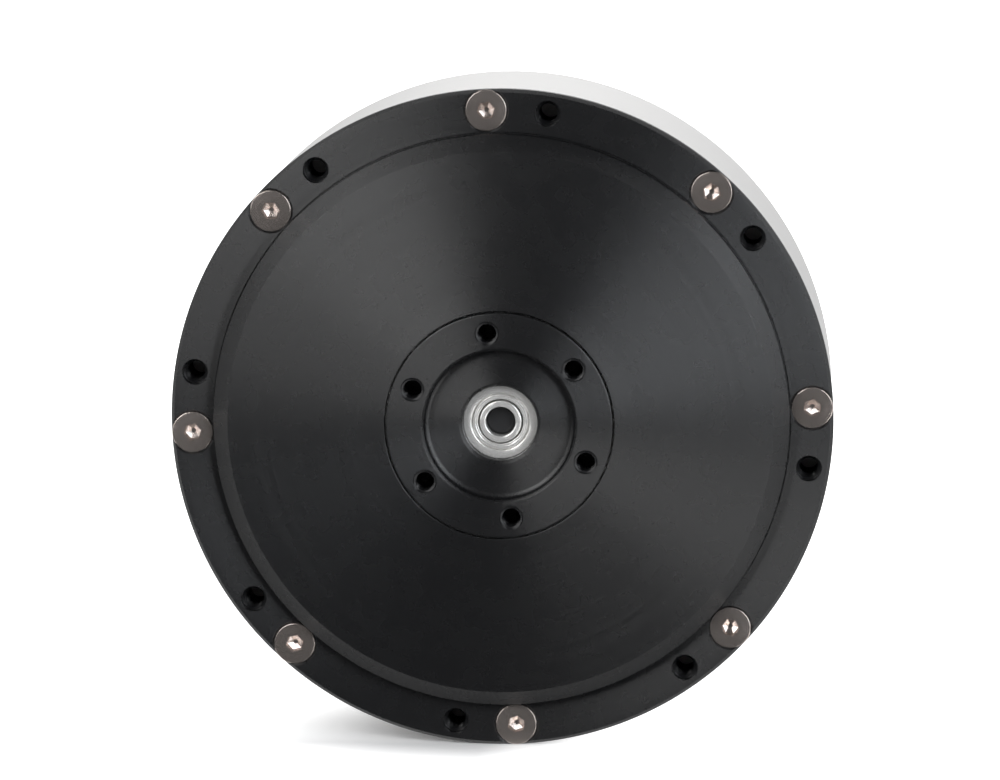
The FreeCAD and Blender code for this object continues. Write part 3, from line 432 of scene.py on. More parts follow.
class Lathe(Recipe):
    """Turns an outline about the Y axis, with a thread along a stretch of it if asked."""

    def __init__(self) -> None:
        """Build the tree."""
        threads = {f"Thread {size.name}": "NodeSocketFloat" for size in fields(Thread)}
        super().__init__("turned", {"Segments": "NodeSocketInt", **threads})
        graph = self.graph
        outline, segments = self.value("Geometry"), self.value("Segments")
        count = graph.node(
            "GeometryNodeAttributeDomainSize", {"component": "MESH"}, {0: outline}, "Point Count"
        )
        columns = segments + 1.0
        size = {"Size X": 1.0, "Size Y": 1.0, "Vertices X": count, "Vertices Y": columns}
        grid = graph.node("GeometryNodeMeshGrid", values=size, out="Mesh")
        index = graph.node("GeometryNodeInputIndex")
        row = graph.maths("FLOOR", (index + 0.5) / columns)
        column = index - row * columns
        corner = graph.node(
            "GeometryNodeSampleIndex",
            {"data_type": "FLOAT_VECTOR", "domain": "POINT"},
            {
                "Geometry": outline,
                "Value": graph.node("GeometryNodeInputPosition"),
                "Index": row,
            },
            "Value",
        )
        radius, depth, _ = graph.split(corner)
        turn = column / segments
        angle = turn * (2 * math.pi)
        phase = graph.maths("FRACT", depth / self.value("Thread pitch") - turn)
        ridge = 1.0 - graph.maths("ABSOLUTE", phase * 2.0 - 1.0)
        begun = graph.maths("GREATER_THAN", depth, self.value("Thread start"))
        unended = graph.maths("LESS_THAN", depth, self.value("Thread end"))
        cut = graph.clamp(ridge * 1.3 - 0.15, 0.0, 1.0)
        radius = radius + cut * (begun * unended) * self.value("Thread depth")
        placed = graph.join(
            radius * graph.maths("COSINE", angle), depth, radius * graph.maths("SINE", angle)
        )
        shaped = graph.node(
            "GeometryNodeSetPosition", values={"Geometry": grid, "Position": placed}
        )
        self.close(
            graph.node(
                "GeometryNodeMergeByDistance", values={"Geometry": shaped, "Distance": 1e-6}
            )
        )

    def turn(
        self,
        name: str,
        outline: Sequence[Pair],
        material: bpy.types.Material,
        segments: int,
        thread: Thread = PLAIN,
    ) -> bpy.types.Object:
        """Make a turned piece.

        Args:
            name: Name of the piece.
            outline: Radius and depth of each point, in millimetres.
            material: Material of the whole piece.
            segments: Number of steps round the axis.
            thread: Thread on the stretch between two depths.

        Returns:
            The piece, with its faces outwards.
        """
        mesh = bpy.data.meshes.new(name + "_outline")
        mesh.from_pydata([(r * MM, y * MM, 0.0) for r, y in outline], [], [])
        sizes = {f"Thread {key}": value * MM for key, value in asdict(thread).items()}
        piece = self.make(name, mesh, {"Segments": segments, "Material": material, **sizes})
        faced_outwards(piece.data)
        return piece


class Ring(Recipe):
    """Sets copies of a mesh on a circle about the Y axis, each turned by chance about its own."""

    def __init__(self) -> None:
        """Build the tree."""
        whole, number = "NodeSocketInt", "NodeSocketFloat"
        inputs = {"Count": whole, "Radius": number, "Phase": number, "Own turn": number}
        super().__init__("set on a circle", {**inputs, "Seed": whole})
        graph = self.graph
        count, radius = self.value("Count"), self.value("Radius")
        index = graph.node("GeometryNodeInputIndex")
        angle = index / count * (2 * math.pi) + self.value("Phase")
        across, up = (graph.maths(wave, angle) * radius for wave in ("COSINE", "SINE"))
        place = graph.join(across, 0.0, up)
        points = graph.node("GeometryNodePoints", values={"Count": count, "Position": place})
        chance = graph.node(
            "FunctionNodeRandomValue",
            {"data_type": "FLOAT"},
            {"Min": 0.0, "Max": self.value("Own turn"), "Seed": self.value("Seed")},
            "Value",
        )
        spin = graph.join(0.0, chance, 0.0)
        copies = graph.node(
            "GeometryNodeInstanceOnPoints",
            values={"Points": points, "Instance": self.value("Geometry"), "Rotation": spin},
        )
        centre = graph.node("GeometryNodeInputPosition")
        marked = graph.node(
            "GeometryNodeStoreNamedAttribute",
            {"data_type": "FLOAT_VECTOR", "domain": "INSTANCE"},
            {"Geometry": copies, "Name": "centre", "Value": centre},
        )
        self.close(marked)

    def set_out(
        self,
        name: str,
        model: bpy.types.Object,
        circle: Circle,
        material: Optional[bpy.types.Material] = None,
        own_turn: float = 0.0,
        seed: int = 0,
    ) -> bpy.types.Object:
        """Set copies of a model on a circle and remove the model.

        Args:
            name: Name of the piece.
            model: One copy, about the Y axis.
            circle: The circle, its count and its phase.
            material: Material of the copies.
            own_turn: Largest chance turn about a copy's own axis, in radians.
            seed: Seed of the chance turns.

        Returns:
            The piece.
        """
        mesh = model.data.copy()
        bpy.data.objects.remove(model)
        inputs = {
            "Count": circle.count,
            "Radius": circle.radius * MM,
            "Phase": math.radians(circle.phase),
            "Own turn": own_turn,
            "Seed": seed,
            "Material": material,
        }
        return self.make(name, mesh, inputs)


class Mill(Recipe):
    """Cuts one piece out of another."""

    def __init__(self) -> None:
        """Build the tree."""
        super().__init__("milled", {"Cutter": "NodeSocketObject"})
        cutter = self.graph.node(
            "GeometryNodeObjectInfo",
            {"transform_space": "ORIGINAL"},
            {"Object": self.value("Cutter")},
            "Geometry",
        )
        cut = self.graph.node(
            "GeometryNodeMeshBoolean",
            {"operation": "DIFFERENCE", "solver": "EXACT"},
            {"Mesh 1": self.value("Geometry"), "Mesh 2": cutter},
            "Mesh",
        )
        self.close(cut)

    def cut(
        self,
        piece: bpy.types.Object,
        cutters: Iterable[bpy.types.Object],
        material: bpy.types.Material,
    ) -> bpy.types.Object:
        """Cut pieces out of a piece, and remove them.

        Args:
            piece: The piece to cut.
            cutters: What is cut away.
            material: Material of the result.

        Returns:
            The cut piece.
        """
        for cutter in cutters:
            name, mesh = piece.name, piece.data.copy()
            bpy.data.objects.remove(piece)
            piece = self.make(name, mesh, {"Cutter": cutter, "Material": material})
            bpy.data.objects.remove(cutter)
        return piece


def rounded(corners: Sequence[Sequence[float]], closed: bool = True) -> list[Pair]:
    """Outline with an arc at each corner that asks for one.

    Args:
        corners: Radius, depth and, where wanted, arc radius of each corner.
        closed: Whether the outline runs back to its first corner.

    Returns:
        Radius and depth of each point; a closed outline ends on its first point.
    """
    places = [Vector((c[0], c[1])) for c in corners]
    points: list[Pair] = []
    for i, (here, corner) in enumerate(zip(places, corners)):
        if len(corner) < 3:
            points.append((here.x, here.y))
            continue
        before, after = places[i - 1] - here, places[(i + 1) % len(places)] - here
        half = before.angle(after) / 2
        slope = math.tan(half)
        reach = min(corner[2] / slope, LEG_SHARE * min(before.length, after.length))
        before.normalize()
        after.normalize()
        middle = here + (before + after).normalized() * (reach * slope / math.sin(half))
        first, last = here + before * reach - middle, here + after * reach - middle
        sweep = first.angle_signed(last)
        steps = max(2, round(abs(sweep) / ARC_STEP))
        for step in range(steps + 1):
            angle = -sweep * step / steps
            c, s = math.cos(angle), math.sin(angle)
            turned = Vector((first.x * c - first.y * s, first.x * s + first.y * c))
            points.append((middle.x + turned.x, middle.y + turned.y))
    if closed:
        points.append(points[0])
    return points


def block(name: str, low: Point, high: Point, turn: float) -> bpy.types.Object:
    """Box turned about the Y axis.

    Args:
        name: Name of the box.
        low: Its lowest corner before the turn, in millimetres.
        high: Its highest corner.
        turn: Turn from +X towards +Z, in degrees.

    Returns:
        The box.
    """
    c, s = math.cos(math.radians(turn)), math.sin(math.radians(turn))
    spans = tuple(zip(low, high))
    corners = [(x, y, z) for x in spans[0] for y in spans[1] for z in spans[2]]
    places = [((x * c - z * s) * MM, y * MM, (x * s + z * c) * MM) for x, y, z in corners]
    sides = [(0, 1, 3, 2), (4, 6, 7, 5), (0, 4, 5, 1), (2, 3, 7, 6), (0, 2, 6, 4), (1, 5, 7, 3)]
    mesh = bpy.data.meshes.new(name)
    mesh.from_pydata(places, [], sides)
    faced_outwards(mesh)
    return linked(name, mesh)


# ---------------------------------------------------------------- finishes


@dataclass(frozen=True)
class Place:
    """Where a shaded point lies, in millimetres, from the middle of its piece."""

    graph: Graph
    here: Value
    depth: Value
    radius: Value
    normal: Value
    around: Value
    copy: Value


@dataclass(frozen=True)
class Finish:
    """A surface finish; each kind shades it in its own way."""

    title: str
    colour: Colour
    metallic: float = 0.0
    roughness: float = 0.4
    ior: float = 1.5

    def place(self, graph: Graph, centre: Pair) -> Place:
        """Coordinates about the middle of a piece.

        Args:
            graph: The material's graph.
            centre: X and Z of the piece's middle, in millimetres.

        Returns:
            The place of the shaded point.
        """
        own = graph.node("ShaderNodeTexCoord", out="Object")
        copy = graph.node("ShaderNodeAttribute", {"attribute_name": "centre"}, out="Vector")
        offset = (-centre[0] * MM, 0.0, -centre[1] * MM)
        start = graph.vector("SUBTRACT", own, copy)
        moved = graph.node("ShaderNodeMapping", values={"Vector": start, "Location": offset})
        here = graph.vector("SCALE", moved, Scale=1.0 / MM)
        x, y, z = graph.split(here)
        around = graph.node(
            "ShaderNodeVectorTransform",
            {"vector_type": "VECTOR", "convert_from": "OBJECT", "convert_to": "WORLD"},
            {"Vector": graph.join(0.0 - z, 0.0, x)},
        )
        normal = graph.node("ShaderNodeNewGeometry", out="Normal")
        radius = graph.maths("SQRT", x * x + z * z)
        return Place(graph, here, y, radius, normal, around, copy)

    def shade(self, place: Place) -> dict[Key, Term]:
        """What varies over the surface, by socket of the shader."""
        raise NotImplementedError

    def shader(self, graph: Graph, values: dict[Key, Term]) -> Value:
        """One shader with the finish's constants and the given values.

        Args:
            graph: The material's graph.
            values: What varies over the surface, by socket.

        Returns:
            The shader.
        """
        constants: dict[Key, Term] = {"Metallic": self.metallic, "IOR": self.ior}
        return graph.node("ShaderNodeBsdfPrincipled", values={**constants, **values})

    def surface(self, place: Place) -> Value:
        """The whole surface as one shader."""
        return self.shader(place.graph, self.shade(place))

    def material(self, centre: Pair = AXIS) -> bpy.types.Material:
        """The finish as a material, made once for each centre.

        Args:
            centre: X and Z of the piece's middle, in millimetres.

        Returns:
            The material.
        """
        name = f"{self.title}_finish"
        if centre != AXIS:
            name += f"_{centre[0]:.0f}_{centre[1]:.0f}"
        if name in bpy.data.materials:
            return bpy.data.materials[name]
        material = bpy.data.materials.new(name)
        graph = Graph.of(material)
        surface = self.surface(self.place(graph, centre))
        graph.node("ShaderNodeOutputMaterial", values={"Surface": surface})
        material.diffuse_color = (*self.colour, 1.0)
        return material

    def tinted(self, share: Value, depth: float) -> Value:
        """The base colour, darker in some places and lighter in others.

        Args:
            share: 0 where it is darkest and 1 where it is lightest.
            depth: How much darker or lighter it grows.

        Returns:
            The colour.
        """
        dark = tuple(c * (1 - depth) for c in self.colour)
        light = tuple(min(1.0, c * (1 + depth)) for c in self.colour)
        return share.graph.blend(share, dark, light)

    def roughened(self, share: Value, less: float, more: float) -> Value:
        """The roughness times less where share is low, and times more where it is high."""
        return share.graph.step(share, 0.3, 0.7, self.roughness * less, self.roughness * more)


@dataclass(frozen=True)
class Turned(Finish):
    """Metal with the fine rings that a lathe leaves, whose flanks lean both ways."""

    lean: float = 0.1
    leans: int = 2
    ripple: float = 0.04
    line: float = 0.03
    band: float = 0.6
    band_slope: float = 0.01
    tint: float = 0.12
    sway: float = 0.0
    axial: float = 0.73
    scatter: float = 977.0

    def across(self, place: Place) -> Value:
        """Distance along the surface, square to the rings."""
        return place.radius + place.depth * self.axial

    def shade(self, place: Place) -> dict[Key, Term]:
        """Bands in colour and clouds in roughness.

        Args:
            place: The place of the shaded point.

        Returns:
            Colour and roughness.
        """
        band = place.graph.bands(self.across(place), 1.0 / self.band)
        cloud = place.graph.noise(place.here, 0.35, 3.0)
        return {
            "Base Color": self.tinted(band * 0.6 + cloud * 0.4, self.tint),
            "Roughness": self.roughened(cloud, 0.97, 1.04),
        }

    def surface(self, place: Place) -> Value:
        """One shader for each lean of the flanks, the upright ones weighing most.

        Args:
            place: The place of the shaded point.

        Returns:
            The shaders, mixed.
        """
        graph, values, across = place.graph, self.shade(place), self.across(place)
        cell = graph.maths("FLOOR", across / self.line)
        chance = graph.dice("1D", "W", cell, "Value")
        band = graph.bands(across, 1.7 / self.band)
        slope = (chance - 0.5) * (2.0 * self.ripple) + (band - 0.5) * (2.0 * self.band_slope)
        side = graph.vector("CROSS_PRODUCT", place.normal, place.around)
        side = graph.vector("NORMALIZE", side)
        facing = place.normal
        if self.sway:
            key = graph.vector("SCALE", place.copy, Scale=self.scatter)
            throw = graph.vector("SUBTRACT", graph.dice("3D", "Vector", key, "Color"), (0.5,) * 3)
            facing = graph.lean(facing, graph.vector("SCALE", throw, Scale=2.0 * self.sway))
        whole, total = None, 0.0
        for step in range(-self.leans, self.leans + 1):
            tilt = graph.vector("SCALE", side, Scale=slope + step * self.lean)
            flank = self.shader(graph, {**values, "Normal": graph.lean(facing, tilt)})
            weight = self.leans + 1.0 - 0.6 * abs(step)
            total += weight
            mixed: dict[Key, Term] = {0: weight / total, 1: whole, 2: flank}
            whole = graph.node("ShaderNodeMixShader", values=mixed) if whole else flank
        return whole


@dataclass(frozen=True)
class Grained(Finish):
    """Surface with a fine grain, as blasted metal or moulded plastic has."""

    grain: float = 0.15
    height: float = 0.004
    tint: float = 0.05
    sheen: float = 0.12

    def shade(self, place: Place) -> dict[Key, Term]:
        """Grain as bump, with clouds in colour and roughness.

        Args:
            place: The place of the shaded point.

        Returns:
            Colour, roughness and normal.
        """
        graph = place.graph
        grain = graph.noise(place.here, 1.0 / self.grain, 3.0)
        cloud = graph.noise(place.here, 0.22, 3.0)
        mottle = cloud * 0.3 + grain * 0.7
        return {
            "Base Color": self.tinted(cloud * 0.4 + grain * 0.6, self.tint),
            "Roughness": self.roughened(mottle, 1 - self.sheen, 1 + self.sheen),
            "Normal": graph.bump(grain, self.height),
        }


@dataclass(frozen=True)
class Layered(Finish):
    """Stack or winding whose layers show as lines along the axis."""

    pitch: float = 0.35
    height: float = 0.05
    tint: float = 0.2

    def shade(self, place: Place) -> dict[Key, Term]:
        """Rounded ridges across the axis.

        Args:
            place: The place of the shaded point.

        Returns:
            Colour, roughness and normal.
        """
        graph = place.graph
        phase = graph.maths("FRACT", place.depth / self.pitch)
        ridge = graph.maths("SINE", phase * math.pi)
        cloud = graph.noise(place.here, 0.8)
        return {
            "Base Color": self.tinted(ridge * 0.7 + cloud * 0.3, self.tint),
            "Roughness": self.roughened(cloud, 0.9, 1.15),
            "Normal": graph.bump(ridge, self.height),
        }


@dataclass(frozen=True)
class Printed(Finish):
    """Lacquered circuit board with copper tracks under the lacquer."""

    track: Colour = (0.06, 0.27, 0.12)
    height: float = 0.03

    def shade(self, place: Place) -> dict[Key, Term]:
        """Tracks as a slightly lighter, slightly raised pattern.

        Args:
            place: The place of the shaded point.

        Returns:
            Colour, roughness and normal.
        """
        graph = place.graph
        cells = graph.node(
            "ShaderNodeTexVoronoi",
            {"distance": "CHEBYCHEV", "feature": "F1"},
            {"Vector": place.here, "Scale": 0.6},
            "Distance",
        )
        track = graph.step(cells, 0.42, 0.46)
        cloud = graph.noise(place.here, 1.2)
        return {
            "Base Color": graph.blend(track * 0.8, self.tinted(cloud, 0.1), self.track),
            "Roughness": self.roughened(cloud, 0.9, 1.2),
            "Normal": graph.bump(track, self.height),
        }


ANODISED = Turned(
    "black_anodised", (0.0045, 0.0046, 0.0052), 0.0, 0.27, 1.62, lean=0.12, leans=3, tint=0.05
)
HOUSING_SILVER = Grained(
    "silver_anodised", (0.57, 0.565, 0.56), 0.85, 0.4, grain=0.12, height=0.002, tint=0.02,
    sheen=0.04,
)
GROUND_STEEL = Turned("bearing_steel", (0.96, 0.95, 0.93), 0.74, 0.21, ripple=0.01, tint=0.05)
SCREW_STEEL = Turned(
    "screw_steel", (0.64, 0.57, 0.53), 0.93, 0.2, lean=0.07, leans=1, tint=0.18, band=0.25,
    sway=0.08,
)
# Painted shade: near-black steel for the pinion, so its end seen in the bearing's bore reads as
# shade.
PAINTED_SHADE_STEEL = Turned("blackened_steel", (0.012, 0.012, 0.013), 0.3, 0.45, leans=1)

FINISHES: dict[str, Finish] = {
    finish.title: finish
    for finish in (
        ANODISED,
        HOUSING_SILVER,
        GROUND_STEEL,
        SCREW_STEEL,
        Turned("bare_aluminium", (0.70, 0.70, 0.71), 1.0, 0.3),
        Turned("gear_steel", (0.42, 0.42, 0.43), 1.0, 0.3, leans=1),
        Layered("lamination_steel", (0.34, 0.35, 0.37), 1.0, 0.4),
        Grained("spring_steel", (0.25, 0.25, 0.27), 1.0, 0.4),
        Grained("magnet_nickel", (0.66, 0.65, 0.62), 1.0, 0.18, grain=0.4, height=0.002),
        Layered("copper_winding", (0.55, 0.22, 0.09), 0.9, 0.28, pitch=0.5, height=0.12),
        Turned("bronze", (0.62, 0.42, 0.20), 1.0, 0.3, leans=1),
        Turned("holder_brass", (0.72, 0.58, 0.30), 1.0, 0.25, leans=1),
        Grained("contact_gold", (0.85, 0.66, 0.28), 1.0, 0.22, grain=0.3, height=0.002),
        Grained("insulator", (0.80, 0.80, 0.76), 0.0, 0.5, grain=0.2),
        Grained("lead_insulation", (0.05, 0.05, 0.055), 0.0, 0.5, grain=0.2),
        Printed("board", (0.03, 0.16, 0.07), 0.0, 0.25),
        Grained("chip_plastic", (0.04, 0.04, 0.045), 0.0, 0.5, grain=0.1, height=0.006),
        Grained("thermal_pad", (0.45, 0.50, 0.55), 0.0, 0.7, grain=0.3, height=0.01),
        Turned("capacitor_can", (0.60, 0.61, 0.63), 1.0, 0.25, leans=1),
        Grained("power_plastic", (0.75, 0.50, 0.06), 0.0, 0.35, grain=0.25, tint=0.06),
        Grained("signal_plastic", (0.86, 0.84, 0.76), 0.0, 0.38, grain=0.25, tint=0.04),
    )
}


# ---------------------------------------------------------------- the actuator


class Workshop:
    """The three recipes, shared by the sub-assemblies."""

    def __init__(self) -> None:
        """Build the trees."""
        self.lathe = Lathe()
        self.ring = Ring()
        self.mill = Mill()


@dataclass
class SubAssembly:
    """A group of pieces made by one class."""

    shop: Workshop

    def enter(self, piece: bpy.types.Object, body: Body, slot: Slot, *nodes: str) -> None:
        """Give a finished piece its body and hide the nodes that it stands for.

        Args:
            piece: The piece.
            body: Body that it rides on.
            slot: Not used.
            nodes: Frame nodes that it replaces.
        """
        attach(piece, body.value)
        if nodes:
            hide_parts(*nodes)
        LOG.info("%s on %s: %d faces", piece.name, body.value, len(piece.data.polygons))

    def build(self) -> None:
        """Make and dress the pieces."""
        raise NotImplementedError


def mouth(radius: float, wider: float, face: float = 0.0) -> list[Pair]:
    """Outline of a cutter where it enters a face, with a chamfer at the edge.

    Args:
        radius: Radius of the hole, in millimetres.
        wider: Width and depth of the chamfer.
        face: Depth of the face.

    Returns:
        Radius and depth of each point, from the axis to the chamfer's foot.
    """
    wide = radius + wider
    return [(0.0, face - 1.0), (wide, face - 1.0), (wide, face - 0.001), (radius, face + wider)]


@dataclass(frozen=True)
class SunkScrew:
    """Countersunk hexagon-socket screw, in millimetres; its face lies at the given depth."""

    face: float
    head: float
    shank: float
    length: float
    across_flats: float
    socket_depth: float
    facing: Facing = Facing.FRONT
    land: float = 0.14
    edge: float = 0.1
    tip: float = 0.4
    flare: float = 0.1
    flare_depth: float = 0.12
    socket_point: float = 0.35

    def at(self, depth: float) -> float:
        """Depth below the screw's face, as a place on the axis."""
        return self.face + self.facing.value * depth

    def model(self, shop: Workshop, material: bpy.types.Material) -> bpy.types.Object:
        """One screw about the Y axis.

        Args:
            shop: The recipes.
            material: Material of the screw.

        Returns:
            The screw.
        """
        at, edge, tip, deep = self.at, self.edge, self.tip, self.socket_depth
        section = [
            (0.0, at(0.0)),
            (self.head - edge, at(0.0), 0.08),
            (self.head, at(edge), 0.08),
            (self.head, at(self.land), 0.02),
            (self.shank, at(self.head - self.shank + self.land)),
            (self.shank, at(self.length - tip)),
            (self.shank - tip, at(self.length)),
            (0.0, at(self.length)),
        ]
        screw = shop.lathe.turn("screw", rounded(section, closed=False), material, 64)
        corner = self.across_flats / math.sqrt(3)
        wide, bottom = corner + self.flare, at(deep + self.socket_point)
        hexagon = [
            (0.0, at(-1.0)),
            (wide, at(-1.0)),
            (wide, at(-0.001)),
            (corner, at(self.flare_depth)),
            (corner - 0.1, at(deep)),
            (corner * 0.3, bottom),
            (0.0, bottom),
        ]
        return shop.mill.cut(screw, [shop.lathe.turn("hexagon", hexagon, material, 6)], material)


@dataclass(frozen=True)
class TappedWall:
    """Wall of a tapped hole with the thread inside, in millimetres, and a collar if asked."""

    outside: float
    start: float
    end: float
    collar: float = 0.0
    collar_height: float = 0.5
    crest: float = 1.25
    pitch: float = 0.5
    depth: float = 0.2

    def model(self, shop: Workshop, material: bpy.types.Material) -> bpy.types.Object:
        """One wall about the Y axis.

        Args:
            shop: The recipes.
            material: Material of the wall.

        Returns:
            The wall.
        """
        first, last, step = self.start + 0.02, self.end - 0.02, self.pitch / 8
        count = math.ceil((last - first) / step)
        inner = [(self.crest, first + (last - first) * i / count) for i in range(count + 1)]
        foot = (self.outside, self.start)
        outline = [foot, *inner, (self.outside, self.end), foot]
        if self.collar:
            front, back = self.start - self.collar_height, self.start - 0.01
            foot = (self.outside, back)
            lip = [(self.collar, back), (self.collar, front), (self.collar - 0.04, front)]
            outline = [foot, *lip, *outline[1:-1], foot]
        thread = Thread(self.depth, self.pitch, self.start + 0.03, self.end - 0.03)
        return shop.lathe.turn("sleeve", outline, material, 32, thread)


@dataclass
class FrontCover(SubAssembly):
    """Rim, dome and bearing pocket, with the screws and holes of the rim."""

    rim_radius: float = 44.45
    rim_thickness: float = 1.5
    rim_chamfer: float = 0.45
    foot_radius: float = 38.55
    foot_wall: float = 1.7
    undercut: float = 0.18
    edge_radius: float = 36.45
    edge_height: float = 3.5
    edge_break: float = 0.1
    lip_radius: float = 15.35
    lip_height: float = 4.8
    inside: tuple[Sequence[float], ...] = (
        (39.46, 3.5, 0.2), (37.06, 3.5), (37.06, 0.5),  # spigot in the housing
        (26.02, 0.5), (26.02, 6.6),  # boss that the stator seats on
        (25.02, 6.6), (25.02, 20.6, 0.2), (23.42, 20.6, 0.2), (23.42, 7.8),  # tube
        (21.3, 7.8), (21.3, 4.62),  # room for the carrier
        (22.04, 4.62), (22.04, 3.6),  # groove of the retaining ring
        (21.02, 3.6), (21.02, -3.4), (18.1, -3.4), (18.1, -3.7),  # bearing pocket
    )
    screws: Circle = field(default_factory=lambda: Circle(41.65, 8, 2.8))
    holes: Circle = field(default_factory=lambda: Circle(41.65, 8, -8.5))
    hole_radius: float = 1.7
    hole_break: float = 0.06
    cut_depth: float = 9.0
    slot_reach: Pair = (36.0, 41.0)
    slot_half: float = 3.4
    slot_rear: float = 4.5
    slot_turn: float = 19.6
    head_radius: float = 2.77
    head_sink: float = 0.16
    shank_radius: float = 1.5
    screw_length: float = 7.8
    across_flats: float = 2.0
    socket_depth: float = 1.15
    thread_outside: float = 1.49
    thread_end: float = 8.4

    def outline(self) -> list[Pair]:
        """Section of the cover, from the lip out to the rim and back along the inside.

        Returns:
            Radius and depth of each point.
        """
        heel, rim = self.foot_radius + self.undercut, self.rim_radius
        return rounded(
            [
                (self.lip_radius, -self.lip_height, self.edge_break),
                (self.edge_radius, -self.edge_height, 0.15),
                (self.foot_radius, -self.foot_wall, 0.12),
                (self.foot_radius, self.undercut),
                (heel, self.undercut),
                (heel, 0.0, 0.05),
                (rim - self.rim_chamfer, 0.0, 0.06),
                (rim, self.rim_chamfer, 0.06),
                (rim, self.rim_thickness, 0.05),
                (self.inside[0][0], self.rim_thickness),
                *self.inside,
                (self.lip_radius, self.inside[-1][1]),
            ]
        )

    def cutters(self, steel: bpy.types.Material) -> list[bpy.types.Object]:
        """What is cut away: screw holes, mounting holes and the slot for the leads.

        Args:
            steel: Material of the cutters; the cut piece's own material covers it.

        Returns:
            The cutters.
        """
        lathe, ring, r, end = self.shop.lathe, self.shop.ring, self.hole_radius, self.cut_depth
        wide, b = self.head_radius + self.head_sink + 0.01, self.edge_break
        cone = wide - self.shank_radius - 0.04
        throat, half = wide - cone, self.slot_half
        near, far = self.slot_reach
        sunk = [*mouth(wide, b), (throat + b, cone), (throat, end), (0.0, end)]
        plain = [*mouth(r, self.hole_break), (r, end), (0.0, end)]
        low, high = (near, self.rim_thickness, -half), (far, self.slot_rear, half)
        return [
            ring.set_out("countersinks", lathe.turn("countersink", sunk, steel, 64), self.screws),
            ring.set_out("drills", lathe.turn("drill", plain, steel, 48), self.holes),
            block("lead_slot", low, high, self.slot_turn),
        ]

    def build(self) -> None:
        """Make the cover, its screws and the threads behind its holes, the threads painted black
        as shade.
        """
        black, steel, ring = ANODISED.material(), SCREW_STEEL.material(), self.shop.ring
        body = self.shop.lathe.turn("front_cover_body", self.outline(), black, 288)
        body = self.shop.mill.cut(body, self.cutters(steel), black)
        self.enter(body, Body.HOUSING, Slot.BLACK, "front_cover")
        screw = SunkScrew(
            self.head_sink - 0.1,
            self.head_radius,
            self.shank_radius,
            self.screw_length,
            self.across_flats,
            self.socket_depth,
        )
        model = screw.model(self.shop, steel)
        screws = ring.set_out("rim_screw_set", model, self.screws, steel, math.pi / 3, 11)
        self.enter(screws, Body.HOUSING, Slot.SCREW, "rim_screws")
        # Painted shade: the threads and collar behind the mounting holes sit in the silver
        # housing but take the black anodised finish, so the holes read dark.
        collar = self.hole_radius - 0.01
        wall = TappedWall(self.thread_outside, self.rim_thickness, self.thread_end, collar)
        model = wall.model(self.shop, black)
        threads = ring.set_out("mount_threads", model, self.holes, black)
        self.enter(threads, Body.HOUSING, Slot.BLACK)


@dataclass
class OutputFlange(SubAssembly):
    """Flange that drives the limb, with its recess and tapped holes."""

    radius: float = 15.15
    height: float = 5.0
    recess_radius: float = 10.1
    recess_depth: float = 1.85
    recess_fillet: float = 0.8
    seat_radius: float = 5.02
    seat_chamfer: float = 0.4
    seat_rear: float = 2.6
    journal_radius: float = 14.98
    journal_front: float = -3.4
    rear_bore: float = 3.6
    rear_face: float = 3.6
    holes: Circle = field(default_factory=lambda: Circle(12.5, 6, 37.5))
    hole_radius: float = 1.5
    hole_depth: float = 6.0
    hole_point: float = 6.9
    mouth: float = 0.12
    thread_outside: float = 1.495
    thread_start: float = 0.2
    thread_end: float = 5.8
    rear_screws: Circle = field(default_factory=lambda: Circle(11.8, 3, 7.5))
    screw_bore: float = 1.52
    screw_reach: Pair = (-1.4, 4.5)

    def outline(self) -> list[Pair]:
        """Section of the flange, from the recess out to the edge and back inside.

        Returns:
            Radius and depth of each point.
        """
        front, floor = -self.height, self.recess_depth - self.height
        return rounded(
            [
                (self.recess_radius + 0.3, front, 0.08),
                (self.radius, front, 0.2),
                (self.radius, self.journal_front),
                (self.journal_radius, self.journal_front),
                (self.journal_radius, self.rear_face),
                (self.rear_bore, self.rear_face),
                (self.rear_bore, self.seat_rear),
                (self.seat_radius, self.seat_rear),
                (self.seat_radius, floor + self.seat_chamfer, 0.06),
                (self.seat_radius + self.seat_chamfer, floor, 0.06),
                (self.recess_radius, floor, self.recess_fillet),
                (self.recess_radius, front + 0.3, 0.08),
            ]
        )

    def build(self) -> None:
        """Make the flange and the threads of its holes."""
        lathe, ring = self.shop.lathe, self.shop.ring
        black, front, r = ANODISED.material(), -self.height, self.hole_radius
        body = lathe.turn("output_flange_body", self.outline(), black, 192)
        point = [(r, front + self.hole_depth), (0.0, front + self.hole_point)]
        drill = lathe.turn("drill", mouth(r, self.mouth, front) + point, black, 48)
        start, end = self.screw_reach
        section = [(0.0, start), (self.screw_bore, start), (self.screw_bore, end), (0.0, end)]
        bore = lathe.turn("bore", section, black, 32)
        cutters = [
            ring.set_out("drills", drill, self.holes),
            ring.set_out("bores", bore, self.rear_screws),
        ]
        body = self.shop.mill.cut(body, cutters, black)
        self.enter(body, Body.OUTPUT, Slot.BLACK, "output_flange")
        start, end = front + self.thread_start, front + self.thread_end
        wall = TappedWall(self.thread_outside, start, end).model(self.shop, black)
        threads = ring.set_out("output_threads", wall, self.holes, black)
        self.enter(threads, Body.OUTPUT, Slot.BLACK)


